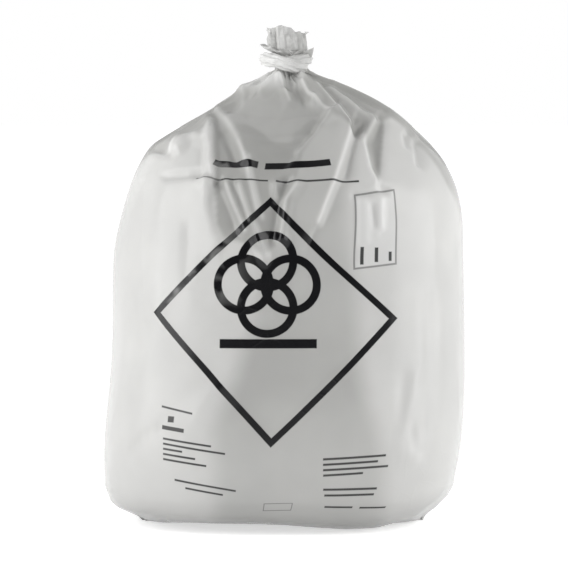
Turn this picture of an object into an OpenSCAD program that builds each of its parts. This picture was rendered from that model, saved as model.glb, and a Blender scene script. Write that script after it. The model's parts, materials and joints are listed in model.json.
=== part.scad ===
// Filled waste bag of thin film: a tube welded across its base, filled, gathered and knotted.
// Millimetres, +Z up. The printed side faces -Y. The origin is the middle of the base.

/* [Filled bag] */
// Width of the filled bag near its base
bag_w = 522; // [440:1:620]
// Depth of the filled bag, front to back
bag_d = 380; // [300:1:440]
// Height of the crown, the ring of film that stands round the foot of the knot
crown_z = 649; // [600:1:760]
// Amount that each side wall draws in from the base to the shoulder
side_taper = 6; // [0:1:20]
// Sideways shift of the upper bag and the knot from the base
lean = 15; // [0:1:40]
// Height at which the bag has leaned all the way
lean_z = 350; // [200:1:500]
// Squareness of the plan: 2 is an ellipse, 4 is close to a box
plan_square = 2.5; // [2:0.1:4]
// Thickness of the film
film_t = 0.12; // [0.08:0.01:0.3]

/* [Base and shoulders] */
// Radius of the round between the base and the walls
base_round = 62; // [40:1:80]
// Radius of the round between the side walls and the shoulders
side_round = 230; // [120:1:240]
// Slope of the shoulders towards the sides
side_slope = 28; // [24:1:40]
// Radius of the round between the front or back wall and the shoulders
face_round = 190; // [70:1:210]
// Slope of the shoulders towards the front and the back
face_slope = 45; // [30:1:50]

/* [Gathers] */
// Radius of the crown round the foot of the knot
crown_r = 34; // [30:1:60]
// Radius of the round between the shoulders and the crown
crown_round = 20; // [10:1:50]
// Depth of the dimple in which the neck stands, below the crown
dimple = 20; // [16:1:30]
// Number of gathers that run from the throat over the shoulders
gathers = 16; // [8:2:20]
// Depth of the gathers at the throat
gather_depth = 8; // [4:0.5:10]
// Height at which the gathers begin
gather_z = 470; // [420:1:560]

/* [Base weld] */
// Width of the welded strip below the base
weld_w = 12; // [8:1:14]
// Thickness of the welded strip
weld_t = 0.5; // [0.3:0.1:0.8]
// Height of the groove in the base that the welded strip lies in
weld_groove = 1.4; // [1.2:0.1:2]
// Length of the corner of the flat tube that stands out at each end of the weld
ear_len = 36; // [24:1:40]
// Height at which the edge of each standing corner meets the wall
ear_h = 30; // [15:1:38]
// Thickness of each standing corner, two films and the air between them
ear_t = 3; // [2:0.5:5]

/* [Load] */
// Drop from the crown of the bag to the middle of the load's top
fill_drop = 72; // [60:1:150]
// Drop from the crown of the bag to where the load leaves the side walls
side_drop = 200; // [150:1:260]
// Drop from the crown of the bag to where the two humps of the load leave the front wall
hump_drop = 77; // [60:1:150]
// Drop from the crown of the bag to where the load leaves the back wall
back_drop = 137; // [90:1:200]
// Depth of the hollow between the two humps
hollow_depth = 175; // [40:1:220]
// Width of that hollow
hollow_w = 156; // [80:1:220]
// Place of the middle of that hollow, to the right of the middle of the bag
hollow_x = -32; // [-90:1:90]
// Space between the load and the walls
load_gap = 4; // [2:0.5:10]

/* [Neck and knot] */
// Radius of the rope of gathered film in the throat
neck_r = 9; // [7:0.5:10]
// Length of that rope below the throat
neck_len = 30; // [15:1:50]
// Radius of the ball on which the knot rocks
neck_ball_r = 11; // [10.5:0.5:13]
// Height of the middle of that ball above the crown
hinge_rise = 12; // [11:0.5:16]
// Radius of the core of the knot
core_r = 17; // [15:0.5:20]
// Height of the core of the knot above the middle of the neck's ball
core_h = 28; // [24:0.5:34]
// Thickness of the film rope that is wrapped round the core, outwards
wrap_w = 24; // [16:1:26]
// Thickness of the film rope that is wrapped round the core, upwards
wrap_h = 20; // [14:1:21]
// Turns of the wrap round the core
wrap_turns = 1.2; // [1.05:0.05:1.25]
// Height of the middle of the wrap above the middle of the neck's ball
wrap_rise = 15; // [14:0.5:18]

/* [Tuft] */
// Height of the tuft's ball above the core of the knot
tuft_rise = 10; // [8:0.5:14]
// Radius of the ball on which the tuft nods
tuft_ball_r = 8; // [6:0.5:11]
// Height of the tuft above the middle of its ball
tuft_h = 27; // [24:1:60]
// Radius of the tuft at its mouth
tuft_r = 33; // [24:1:38]
// Number of ruffles round the mouth
ruffles = 7; // [4:1:9]
// Depth of the ruffles at the mouth
ruffle_depth = 6; // [2:0.5:8]
// Thickness of the ruffled film, several layers
tuft_t = 1.2; // [0.8:0.1:2]

/* [Clearances] */
// Gap between pieces that turn on each other or lie against each other
fit_gap = 0.3; // [0.2:0.05:0.5]

/* [Hidden] */

film_colour = "whitesmoke";
load_colour = "gainsboro";
throat_r = neck_r + fit_gap + film_t;
throat_z = crown_z - dimple;
hinge_z = crown_z + hinge_rise;
wrap_z = hinge_z + wrap_rise;
tuft_z = hinge_z + core_h + tuft_rise;
fill_z = crown_z - fill_drop;
cup_rim = 1.5;          // height of each cup's rim above the middle of its ball
tuft_waist = 1.5;       // how much thinner the stem below the tuft's ball is than the ball
tuft_foot_wall = 3;     // wall of the tuft round its ball
mouth_wave = 0.12;      // rise and fall of the edge of the mouth, as a share of the tuft's height
mouth_waves = 3;        // rises of that edge in one turn
wrap_start = 250;       // direction in which the wrap begins, anticlockwise from +X
wrap_tip = 0.06;        // thickness of the ends of the wrap, as a share of its middle

plan_steps = 64;        // points round the bag, a multiple of four
base_rings = 3;         // rings on the flat of the base
round_rings = 5;        // rings on the round of the base
wall_rings = 18;        // rings from the base round to the crown
ring_crowding = 1.5;    // above 1, the rings lie closer together towards the crown
dimple_rings = 3;       // rings from the crown to the throat
load_walls = 12;        // rings of the load from the base round to its edge
load_rings = 8;         // rings on the crown of the load
ear_steps = 10;         // points along each edge of a standing corner
wrap_rings = 44;        // rings along the wrap of the knot
wrap_sides = 14;        // points round the wrap, an even number
tuft_steps = 56;        // points round the tuft
tuft_rings = 7;         // rings from the foot of the tuft to its mouth

function clamp01(u) = min(1, max(0, u));
function smooth(u) = let (t = clamp01(u)) t * t * (3 - 2 * t);
function sign_power(v, p) = sign(v) * pow(abs(v), p);

// Half width of a wall that rises from a round base, bends over an arc, slopes inwards and
// bends over a second arc to the crown
function slope_z(slope) = crown_z - crown_round * (1 - cos(slope));
function slope_half(slope) = crown_r + crown_round * sin(slope);
function arc_z(half, bend, slope) =
    slope_z(slope) - (half - bend + bend * sin(slope) - slope_half(slope)) * tan(slope) - bend * cos(slope);
function half_at(z, half, bend, slope) =
    let (arc = arc_z(half, bend, slope))
    z < base_round ? half - base_round + sqrt(pow(base_round, 2) - pow(base_round - z, 2))
    : z < arc ? half
    : z < arc + bend * cos(slope) ? half - bend + sqrt(pow(bend, 2) - pow(z - arc, 2))
    : z < slope_z(slope) ? slope_half(slope) + (slope_z(slope) - z) / tan(slope)
    : crown_r + sqrt(pow(crown_round, 2) - pow(z - crown_z + crown_round, 2));

function taper_at(z) = side_taper * clamp01((z - base_round) / (crown_z - side_round - base_round));
function half_w(z) = half_at(z, bag_w / 2 - taper_at(z), side_round, side_slope);
function half_d(z) = half_at(z, bag_d / 2, face_round, face_slope);
function lean_at(z) = lean * smooth(z / lean_z);
function middle_x(z) = base_shift + lean_at(z);
function squareness(z) = plan_square + (2 - plan_square) * smooth((z - gather_z) / (crown_z - gather_z));
function gather_at(z) = gather_depth * pow(clamp01((z - gather_z) / (crown_z - gather_z)), 1.5);

// One point of the plan at height z, drawn in by inset
function plan_point(z, turn, inset) =
    let (p = 2 / squareness(z),
         fold = gather_at(z) * (0.5 + 0.5 * cos(gathers * turn)) - inset)
    [middle_x(z) + (half_w(z) + fold) * sign_power(cos(turn), p),
     (half_d(z) + fold) * sign_power(sin(turn), p)];
function turns() = [for (i = [0 : plan_steps - 1]) 360 * i / plan_steps];

// The groove that the welded strip lies in runs along X below the base
groove_w = 2.5 * weld_w;
function groove_at(y) = weld_groove * clamp01(1 - abs(y) / groove_w);

wall_z = [for (i = [1 : round_rings]) base_round * (1 - cos(90 * i / round_rings)),
          for (i = [1 : wall_rings])
              base_round + (crown_z - base_round) * (1 - pow(1 - i / wall_rings, ring_crowding))];
top_ring = len(wall_z) - 1;

// The base stands off the middle by as much as the leaning walls reach past it on the other side
widest_left = max([for (z = wall_z) half_w(z) + gather_at(z) - lean_at(z)]);
widest_right = max([for (z = wall_z) half_w(z) + gather_at(z) + lean_at(z)]);
base_shift = (widest_left - widest_right) / 2;
throat_x = middle_x(crown_z);

// Lean of the film's face from the vertical at each ring, for a film of even thickness
function face_lean(i) =
    let (low = wall_z[max(0, i - 1)], high = wall_z[min(top_ring, i + 1)])
    atan2(half_w(low) - half_w(high), high - low);

function base_ring(share, lift) =
    [for (t = turns()) let (p = plan_point(0, t, 0), q = [base_shift + share * (p.x - base_shift), share * p.y])
        [q.x, q.y, groove_at(q.y) + lift]];
function wall_ring(i, inset) =
    [for (t = turns()) let (p = plan_point(wall_z[i], t, inset * cos(face_lean(i))))
        [p.x, p.y, wall_z[i] - inset * sin(face_lean(i))]];

// From the crown the film dips to the throat, share 1, where the valleys of the gathers meet the neck
function dimple_ring(share, inset) =
    [for (t = turns())
        let (r = crown_r + (throat_r - crown_r) * share + gather_depth * (0.5 + 0.5 * cos(gathers * t)))
        [throat_x + r * cos(t), r * sin(t), crown_z - dimple * sin(90 * share) - inset]];

// A closed skin over rings of equal length, from the point low to the point high; the rings turn
// anticlockwise seen from above and follow each other upwards along the outside. From the ring inside
// on they lead back down the inner face, whose triangles lie as those of the outer face do
module loft(rings, low, high, inside) {
    steps = len(rings[0]);
    count = len(rings) * steps;
    turned = is_undef(inside) ? len(rings) : inside;
    bands = [for (r = [0 : len(rings) - 2], i = [0 : steps - 1])
        let (a = r * steps + i, b = r * steps + (i + 1) % steps)
        each r < turned ? [[a, a + steps, b], [b, a + steps, b + steps]]
            : [[a, a + steps, b + steps], [a, b + steps, b]]];
    low_fan = [for (i = [0 : steps - 1]) [count, i, (i + 1) % steps]];
    high_fan = [for (i = [0 : steps - 1]) [count + 1, count - steps + (i + 1) % steps, count - steps + i]];
    polyhedron(points = [for (ring = rings) each ring, low, high], faces = concat(bands, low_fan, high_fan));
}

// The film of the bag: one open sack, its outer face and its inner face joined at the throat
module film_wall() {
    shares = [for (i = [1 : base_rings]) i / base_rings];
    dips = [for (i = [1 : dimple_rings]) i / dimple_rings];
    outer = [for (s = shares) base_ring(s, 0),
             for (i = [0 : top_ring]) wall_ring(i, 0),
             for (s = dips) dimple_ring(s, 0)];
    inner = [for (i = [dimple_rings - 1 : -1 : 0]) dimple_ring(dips[i], film_t),
             for (i = [top_ring : -1 : 0]) wall_ring(i, film_t),
             for (i = [base_rings - 1 : -1 : 0]) base_ring(shares[i], film_t)];
    floor_mid = [base_shift, 0, groove_at(0)];
    color(film_colour, 0.6)
        loft(concat(outer, inner), floor_mid, floor_mid + [0, 0, film_t], len(outer));
}

// The weld that shuts the tube, a thin strip folded flat below the base
module bottom_weld() {
    length = 2 * half_w(0);
    color(film_colour)
        translate([base_shift - length / 2, -weld_w / 2, fit_gap / 3])
            cube([length, weld_w, weld_t]);
}

// The two corners of the flat tube, which stand out at the ends of the weld
module corner_ears() {
    color(film_colour)
        for (side = [-1, 1]) corner_ear(side);
}

function ear_root(side, z) = [middle_x(z) + side * (half_w(z) + fit_gap), z];
function curve_point(a, b, c, u) = (1 - u) * (1 - u) * a + 2 * u * (1 - u) * b + u * u * c;

module corner_ear(side) {
    low = fit_gap / 3;
    root = [for (i = [0 : ear_steps]) ear_root(side, low + (ear_h - low) * pow(i / ear_steps, 2))];
    tip = [root[0].x + side * 2 * ear_len, low];
    edge = [for (i = [1 : ear_steps - 1]) curve_point(root[ear_steps], tip, root[0], i / ear_steps)];
    rotate([90, 0, 0])
        linear_extrude(height = ear_t, center = true)
            polygon(concat(root, edge));
}

// The load: soft waste that takes the shape of the bag. It leaves the walls highest in two humps behind
// the front wall, with a hollow between them, and closes in a low crown
function hollow_at(turn) =
    let (half_way = crown_z - hump_drop - hollow_depth / 2,
         away = (plan_point(half_way, turn, load_gap).x - hollow_x) / (hollow_w / 2))
    sin(turn) < 0 ? hollow_depth * max(0, 1 - pow(away, 2)) : 0;
function load_edge(turn) =
    let (drop = sin(turn) < 0 ? hump_drop : back_drop)
    crown_z - side_drop + (side_drop - drop) * smooth(abs(sin(turn))) - hollow_at(turn);
function load_point(z, turn) = let (p = plan_point(z, turn, load_gap)) [p.x, p.y, z];
function load_crown_point(turn, rise) =
    let (edge = load_edge(turn),
         z = edge + (fill_z - edge) * sin(rise),
         middle = [middle_x(z), 0],
         out = cos(rise) * (plan_point(edge, turn, load_gap) - middle),
         room = norm(plan_point(z, turn, load_gap) - middle),
         place = middle + out * min(1, room / norm(out)))
    [place.x, place.y, z];

module waste_load() {
    floor_z = film_t + weld_groove + fit_gap;
    foot = [for (p = [for (t = turns()) plan_point(0, t, load_gap)]) [p.x, p.y, floor_z]];
    low_walls = [for (z = wall_z) if (z > floor_z && z <= base_round) [for (t = turns()) load_point(z, t)]];
    walls = [for (i = [1 : load_walls])
        [for (t = turns()) load_point(base_round + (load_edge(t) - base_round) * i / load_walls, t)]];
    crown = [for (i = [1 : load_rings - 1]) [for (t = turns()) load_crown_point(t, 90 * i / load_rings)]];
    color(load_colour)
        loft(concat([foot], low_walls, walls, crown),
             [base_shift, 0, floor_z], [middle_x(fill_z), 0, fill_z]);
}

// The gathered film in the throat, with a rounded head that the knot rocks on
module neck_rope() {
    color(film_colour)
        translate([throat_x, 0, 0]) {
            translate([0, 0, throat_z - neck_len])
                cylinder(r = neck_r, h = hinge_z - throat_z + neck_len);
            translate([0, 0, hinge_z]) sphere(r = neck_ball_r);
        }
}

// The core of the knot, cupped over the neck, with a rounded head for the tuft
module knot_core() {
    color(film_colour)
        translate([throat_x, 0, 0])
            difference() {
                union() {
                    translate([0, 0, hinge_z + cup_rim]) cylinder(r = core_r, h = core_h - cup_rim);
                    translate([0, 0, hinge_z + core_h / 2])
                        cylinder(r = tuft_ball_r - tuft_waist, h = core_h / 2 + tuft_rise);
                    translate([0, 0, tuft_z]) sphere(r = tuft_ball_r);
                }
                translate([0, 0, hinge_z]) sphere(r = neck_ball_r + fit_gap);
            }
}

// The wrap of the knot: one unbroken rope of film that winds round the core. Its ends taper where
// they pass over each other, so that the rise of one turn leaves room for both
wrap_overlap = (wrap_turns - 1) / wrap_turns;
wrap_pitch = wrap_h / 2 * (1 + wrap_tip) + 2 * fit_gap;
function wrap_taper(u) = wrap_tip + (1 - wrap_tip) * clamp01(min(u, 1 - u) / wrap_overlap);
function wrap_ring(u) =
    let (turn = 360 * wrap_turns * u + wrap_start,
         wide = wrap_w / 2 * wrap_taper(u),
         tall = wrap_h / 2 * wrap_taper(u),
         far = core_r + fit_gap + wide,
         z = wrap_z + wrap_pitch * wrap_turns * (u - 0.5))
    [for (i = [0 : wrap_sides - 1]) let (a = 360 * i / wrap_sides, r = far + wide * cos(a))
        [throat_x + r * cos(turn), r * sin(turn), z + tall * sin(a)]];
function ring_middle(ring) = (ring[0] + ring[len(ring) / 2]) / 2;

module knot_wrap() {
    rings = [for (i = [0 : wrap_rings - 1]) wrap_ring(i / (wrap_rings - 1))];
    color(film_colour)
        loft(rings, ring_middle(rings[0]), ring_middle(rings[wrap_rings - 1]));
}

// The tuft: the mouth of the bag, which stands above the knot as a ruffled cup of film
tuft_foot_r = tuft_ball_r + tuft_foot_wall;
tuft_tall = tuft_h - cup_rim;
function ruffle_at(u, turn) = ruffle_depth * pow(u, 1.5) * cos(ruffles * turn);
function tuft_radius(u) = tuft_foot_r + (tuft_r - tuft_foot_r) * sin(90 * u);
function tuft_point(u, turn, inset) =
    let (r = tuft_radius(u) + ruffle_at(u, turn) - inset, wave = 1 - mouth_wave * u * cos(mouth_waves * turn))
    [throat_x + r * cos(turn), r * sin(turn), tuft_z + cup_rim + tuft_tall * u * wave];
function tuft_ring(u, inset) = [for (i = [0 : tuft_steps - 1]) tuft_point(u, 360 * i / tuft_steps, inset)];

module mouth_tuft() {
    bed = tuft_ball_r + fit_gap + tuft_t;
    bed_share = bed / tuft_tall;
    outer = [for (i = [0 : tuft_rings]) tuft_ring(i / tuft_rings, 0)];
    inner = [for (i = [tuft_rings : -1 : 0]) tuft_ring(bed_share + (1 - bed_share) * i / tuft_rings, tuft_t)];
    color(film_colour)
        difference() {
            loft(concat(outer, inner), [throat_x, 0, tuft_z + cup_rim], [throat_x, 0, tuft_z + bed],
                 len(outer));
            translate([throat_x, 0, tuft_z]) sphere(r = tuft_ball_r + fit_gap);
        }
}

film_wall();
bottom_weld();
corner_ears();
waste_load();
neck_rope();
knot_core();
knot_wrap();
mouth_tuft();
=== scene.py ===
import json
import math

import bmesh
import bpy
import numpy as np
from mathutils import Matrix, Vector


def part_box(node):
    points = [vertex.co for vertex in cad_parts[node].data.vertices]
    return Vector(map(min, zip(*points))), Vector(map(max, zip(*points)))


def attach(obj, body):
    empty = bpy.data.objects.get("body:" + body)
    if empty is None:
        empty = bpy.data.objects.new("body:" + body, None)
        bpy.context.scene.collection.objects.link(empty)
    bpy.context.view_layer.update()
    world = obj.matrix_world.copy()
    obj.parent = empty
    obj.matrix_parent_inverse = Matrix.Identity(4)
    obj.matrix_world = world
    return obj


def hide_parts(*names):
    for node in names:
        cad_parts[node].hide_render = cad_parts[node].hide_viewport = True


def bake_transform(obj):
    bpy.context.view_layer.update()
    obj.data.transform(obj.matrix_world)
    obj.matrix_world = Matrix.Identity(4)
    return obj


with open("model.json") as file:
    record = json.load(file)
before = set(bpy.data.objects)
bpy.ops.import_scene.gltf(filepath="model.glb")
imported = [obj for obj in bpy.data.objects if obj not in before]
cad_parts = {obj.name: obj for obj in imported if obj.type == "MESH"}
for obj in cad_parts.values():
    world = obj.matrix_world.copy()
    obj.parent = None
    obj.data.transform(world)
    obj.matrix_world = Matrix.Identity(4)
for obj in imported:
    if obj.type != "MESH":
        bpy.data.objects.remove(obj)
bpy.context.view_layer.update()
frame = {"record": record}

# The frame of the CAD model: +Z is up, and the printed face looks along -Y. Lengths here are in millimetres
# and become metres when a mesh is made. A pair of places is where a change begins and where it ends.
MM = 0.001
NOT_ZERO = 1e-12            # added to lengths that something is divided by
HARDLY_FREE = 1e-9          # the same for two points that are both held

# The photograph's view
IMAGE_SIDE = 568            # pixels
PIXEL_MM = 1.468            # millimetres of the bag to one pixel
PIXEL_MIDDLE = 283.5        # the pixel column of the bag's middle
PIXEL_FLOOR = 527.0         # the pixel row of the base's front edge
BASE_DROP = 7.8             # how far the front edge of the base lies below its middle in the view
CAMERA_RANGE = 4500.0
CAMERA_LIFT = math.radians(3.5)
SENSOR_WIDTH = 36

# The film's grid
FILM_COLUMNS = 400          # film lines that run from the base to the neck
FILM_ROWS = 190             # rings of film from the edge of the base to the neck
BASE_ROWS = 10              # rings of film on the flat of the base
BASE_HOLE = 0.06            # the innermost of them, as a share of the edge of the base
BASE_FLAT = 130             # flat film from the middle of the base to its edge
FRONT_CROWD = 0.4           # how much closer together the film lines lie on the front
ROW_STEP = 8.5              # from ring to ring low on the bag
ROW_STEP_LESS = 5.2         # how much less it is on the shoulders
ROW_STEP_CHANGE = (300, 440)
GIRTH_HEIGHT = 300.0        # where the film is measured round the bag
FLAT_HEIGHT = 200           # where the flat film's length counts as the height on the bag
FILM_TOP = 678.0
FINE_TURNS, FINE_HEIGHTS = 6001, 3001          # points at which lengths are measured
FILM_LOWEST = 0.4
PLAN_POWER = 2.5            # of the bag's plan: 2 is an ellipse, and more is nearer a rectangle
PLAN_POWER_LESS = 0.5       # how much less it is at the neck
PLAN_CHANGE = (480, 650)
EDGE_ON = 0.05              # film that faces the front less than this counts as hidden
FAR_AWAY = 1e6              # pixels

# The film's gathers below the neck, as (how many round the bag, height)
FILM_SEED = 11
GATHERS = ((7, 3.4), (11, 2.8), (17, 2.0), (26, 1.2))
GATHER_FOOT = 380           # where they begin, plus the next value for each one round the bag
GATHER_FOOT_STEP = 7
GATHER_TOP = 600
GATHER_DRIFT = 500          # the height over which a gather drifts to the side
GATHER_SINK = 0.75          # how far they are set in, as a share of their height
GATHER_CALM = 0.88          # how much of them the printed face loses
GATHER_CLOSE = 0.75         # how much of them the throat loses
CLOSE_CHANGE = (632, 668)
CALM_FACING = (0.15, 0.55)
CALM_END = (634, 664)

# The film's dents and slack, and the steps in which it settles
FRONT_TIGHT = 0.85          # how much of its slack the printed face loses
SHOULDERS = (420, 560)
SMALL_DENT, SMALL_DENT_ROUNDS = 0.6, 50
BROAD_DENT, BROAD_DENT_ROUNDS = 1.8, 260
BROAD_DENT_LESS = 0.6
BROAD_DENT_CHANGE = (480, 600)
DENT_START = (1, 50)
DENT_END = (664, 676)
ROUND_SLACK, SHOULDER_SLACK, NECK_SLACK = 1.004, 0.03, 0.22
SHOULDER_SLACK_CHANGE, NECK_SLACK_CHANGE = (400, 520), (510, 640)
UP_SLACK, SHOULDER_UP_SLACK = 1.003, 0.006
UP_SLACK_CHANGE = (400, 560)
HELD_ABOVE = 666
SINK_LIMIT, SHOULDER_SINK_LIMIT = 3, 13
SWELL_LIMIT, SHOULDER_SWELL_LIMIT = 2, 2
FILM_STEPS = 120
FILM_BEND, FILM_LAST_BEND = 0.12, 0.04
STEADY_START = (2, 60)      # where the body of the bag goes back to its outline
STEADY_END = (430, 520)
STEADY_ROUNDS = 60
LIMIT_PULL = 0.7            # the share of a step back inside the limits
SPEED_KEPT = 0.85           # from step to step
FIRST_SHARE = 0.6           # the steps with the first bend, as a share of all
THREAD_PULL = (0.9, 0.6)    # the share of a stretch and of a squeeze that a step takes back
CROSS_PULL = (0.4, 0.25)    # the same across the corners

# The knot, where the hinges of the frame put it
knot_hinge, tuft_hinge = (joint["pos_m"] for joint in frame["record"]["behaviour"]["joints"])
KNOT_X = knot_hinge[0] / MM
WRAP_Z = knot_hinge[2] / MM + 13
WRAP_START = math.radians(200)
WRAP_SHIFT = -3.5
WRAP_WIDEN = 1.04
WRAP_SIZES = {"Turns": 1.4, "Reach": 32 * MM, "Height": 30 * MM, "Rope radius": 12 * MM, "Pleat depth": 0.62,
              "Twist": 2.0, "Crumple": 12 * MM, "Fine crumple": 2 * MM}
WRAP_PARTS = 90             # points to one turn of the wrap
WRAP_PLEATS = 9
WRAP_LEVEL = 2              # how often its mesh is made finer
CRUMPLE_SCALE, FINE_CRUMPLE_SCALE = 24, 75

# The wrap from its first end to its last, as (place along it, share of the reach, height or rope radius)
WRAP_REACH = ((0, 0.4), (0.14, 0.54), (0.32, 0.84), (0.5, 0.76), (0.68, 0.9), (0.85, 0.92), (1, 0.66))
WRAP_HEIGHT = ((0, 0.3), (0.14, 0.5), (0.32, 0.68), (0.5, 0.6), (0.68, 0.66), (0.85, 0.42), (1, 0.16))
WRAP_THICK = ((0, 0.4), (0.1, 0.8), (0.32, 1.0), (0.5, 0.9), (0.68, 1.1), (0.85, 0.95), (1, 0.7))

# The ropes of gathered film: the swell is added to the radius half way up, and the twist is in radians
NECK_ROPE = dict(seed=21, foot=622, length=44, radius=9.5, swell=-1.5, rows=24, columns=64, pleats=9,
                 depth=0.16, twist=1.4)
KNOT_CORE = dict(seed=22, foot=656, length=36, radius=15, swell=1.5, rows=26, columns=72, pleats=11,
                 depth=0.12, twist=1.1)

# The mouth of the bag: the part that stands up
TUFT_SEED = 33
STAND_GRID = (40, 180)      # rows and columns
STAND_SHIFT = -4.4
STAND_FOOT, STAND_RIM = 682, 726
STAND_HALF = (27, 15)       # half its width and depth
STAND_POWER = 0.8
STAND_FOOT_SHARE = 0.5      # of its width and depth at its foot
STAND_OPENS = (0, 0.3)      # shares of its height
STAND_PLEATS, STAND_PLEAT_DEPTH, STAND_PLEAT_DRIFT = 11, 3.4, 1.2
PLEAT_LEAST, PLEAT_MORE = 0.15, 0.85           # shares of their depth: on the right, and more on the left
PLEAT_SIDE = (-0.3, 0.3)
PLEAT_ENDS = 0.85           # how much of their depth both ends lose
STAND_LEAN = 5              # how far its right side leans in, from the foot to the rim
LEAN_SIDE = (0.3, 0.9)
RIM_FALL_RIGHT, RIM_FALL_LEFT = 8.5, 4
RIM_RIGHT, RIM_LEFT = (5, 15), (14, 27)
NOTCH_DEPTH, NOTCH_PLACE, NOTCH_EDGE = 12, 1.5, (4.5, 8)
RIM_WAVES, RIM_WAVE_HEIGHT = 7, 1.5

# The mouth of the bag: the part that lies out over the knot, with a broad flap and a pointed ear. Their ways
# and widths are in radians.
SPREAD_GRID = (26, 160)
SPREAD_FOOT, SPREAD_RIM = 679, 690
SPREAD_START, SPREAD_REACH = 12, 26
SPREAD_DEPTH = 0.85         # as a share of its width
FLAP_WAY, FLAP_WIDTH, FLAP_REACH, FLAP_RISE = math.radians(190), 0.5, 15, 10
EAR_WAY, EAR_WIDTH, EAR_REACH, EAR_RISE, EAR_DROP = math.radians(345), 0.38, 10, 6, 3
RUFFLE_REACH, RUFFLE_RISE = 2.5, 2
RUFFLES, FINE_RUFFLES, FINE_RUFFLE, RUFFLE_DRIFT = 5, 8, 0.7, 1.5
SPREAD_ROUND, EAR_STRAIGHT = 1.2, 0.8          # powers of the way out, and what the ear takes off
SPREAD_CURL, EAR_CURL = 0.8, 1.4               # powers of the way up, and what the ear adds
MOUTH_LIMIT, MOUTH_STEPS = 3, 50
MOUTH_BEND, MOUTH_LAST_BEND = 0.08, 0.03
MOUTH_DENT_ROUNDS, MOUTH_DENT_START = 8, (0.1, 0.5)
MOUTH_HELD_ROWS = 3

# The corners of the flat tube
EARS_GRID = (12, 16)
EARS_HEIGHT, EARS_FOOT, EARS_REACH = 34, 0.6, 8
EARS_ROOT = 1.5             # how far they start inside the film
EARS_GAP = 0.9              # half the gap between their two layers
EARS_WAVE, EARS_WAVE_TURN, EARS_WAVE_STEP = 3.5, 5, 0.5
EARS_CURVE, EARS_TAPER, EARS_TIP, EARS_BULGE = 1.4, 0.6, 0.5, 2.0
EARS_JOIN = 0.3

# The weld, in metres
WELD_SIZES = {"Length": 0.396, "Width": 0.011, "Thickness": 0.0003, "Rib pitch": 0.002, "Rib height": 0.0001,
              "Rib width": 0.0007}
RIB_COUNT = 5
FIRST_RIB = (0, -0.004, -0.0002)
WELD_PARTS = 60             # points along the strip

# Outlines of the filled bag as (height, place), seen from the front and from the side
LEFT_EDGE = [(0, -200), (4, -205), (8, -211), (12, -219), (17, -233), (24, -248), (38, -259), (61, -265),
             (120, -263), (180, -257), (252, -250), (384, -249), (443, -239), (501, -223), (537, -207),
             (556, -196), (574, -169), (604, -117), (616, -95), (626, -80), (639, -65), (648, -45),
             (656, -28), (663, -16), (678, -7)]
RIGHT_EDGE = [(0, 199), (5, 202), (10, 207), (21, 222), (41, 242), (61, 252), (90, 257), (120, 262),
              (178, 265), (325, 265), (392, 263), (443, 262), (487, 256), (531, 238), (560, 216),
              (589, 185), (612, 155), (633, 113), (648, 76), (656, 50), (663, 36), (678, 23)]
FRONT_EDGE = [(0, 112), (6, 142), (14, 160), (28, 176), (50, 186), (75, 189), (200, 190), (400, 189),
              (465, 184), (505, 173), (535, 158), (563, 136), (592, 108), (622, 76), (642, 52), (652, 38),
              (663, 21), (678, 15)]

# How far the front of the base stands off the floor, as (place from left to right, height)
FRONT_LIFT = [(-260, 3), (-167, 7), (-70, 9), (-14, 8), (60, 3), (106, 0), (135, 1), (165, 7),
              (200, 9), (240, 8)]
LIFT_REACH = 90             # how far back and up the lift fades out

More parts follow.
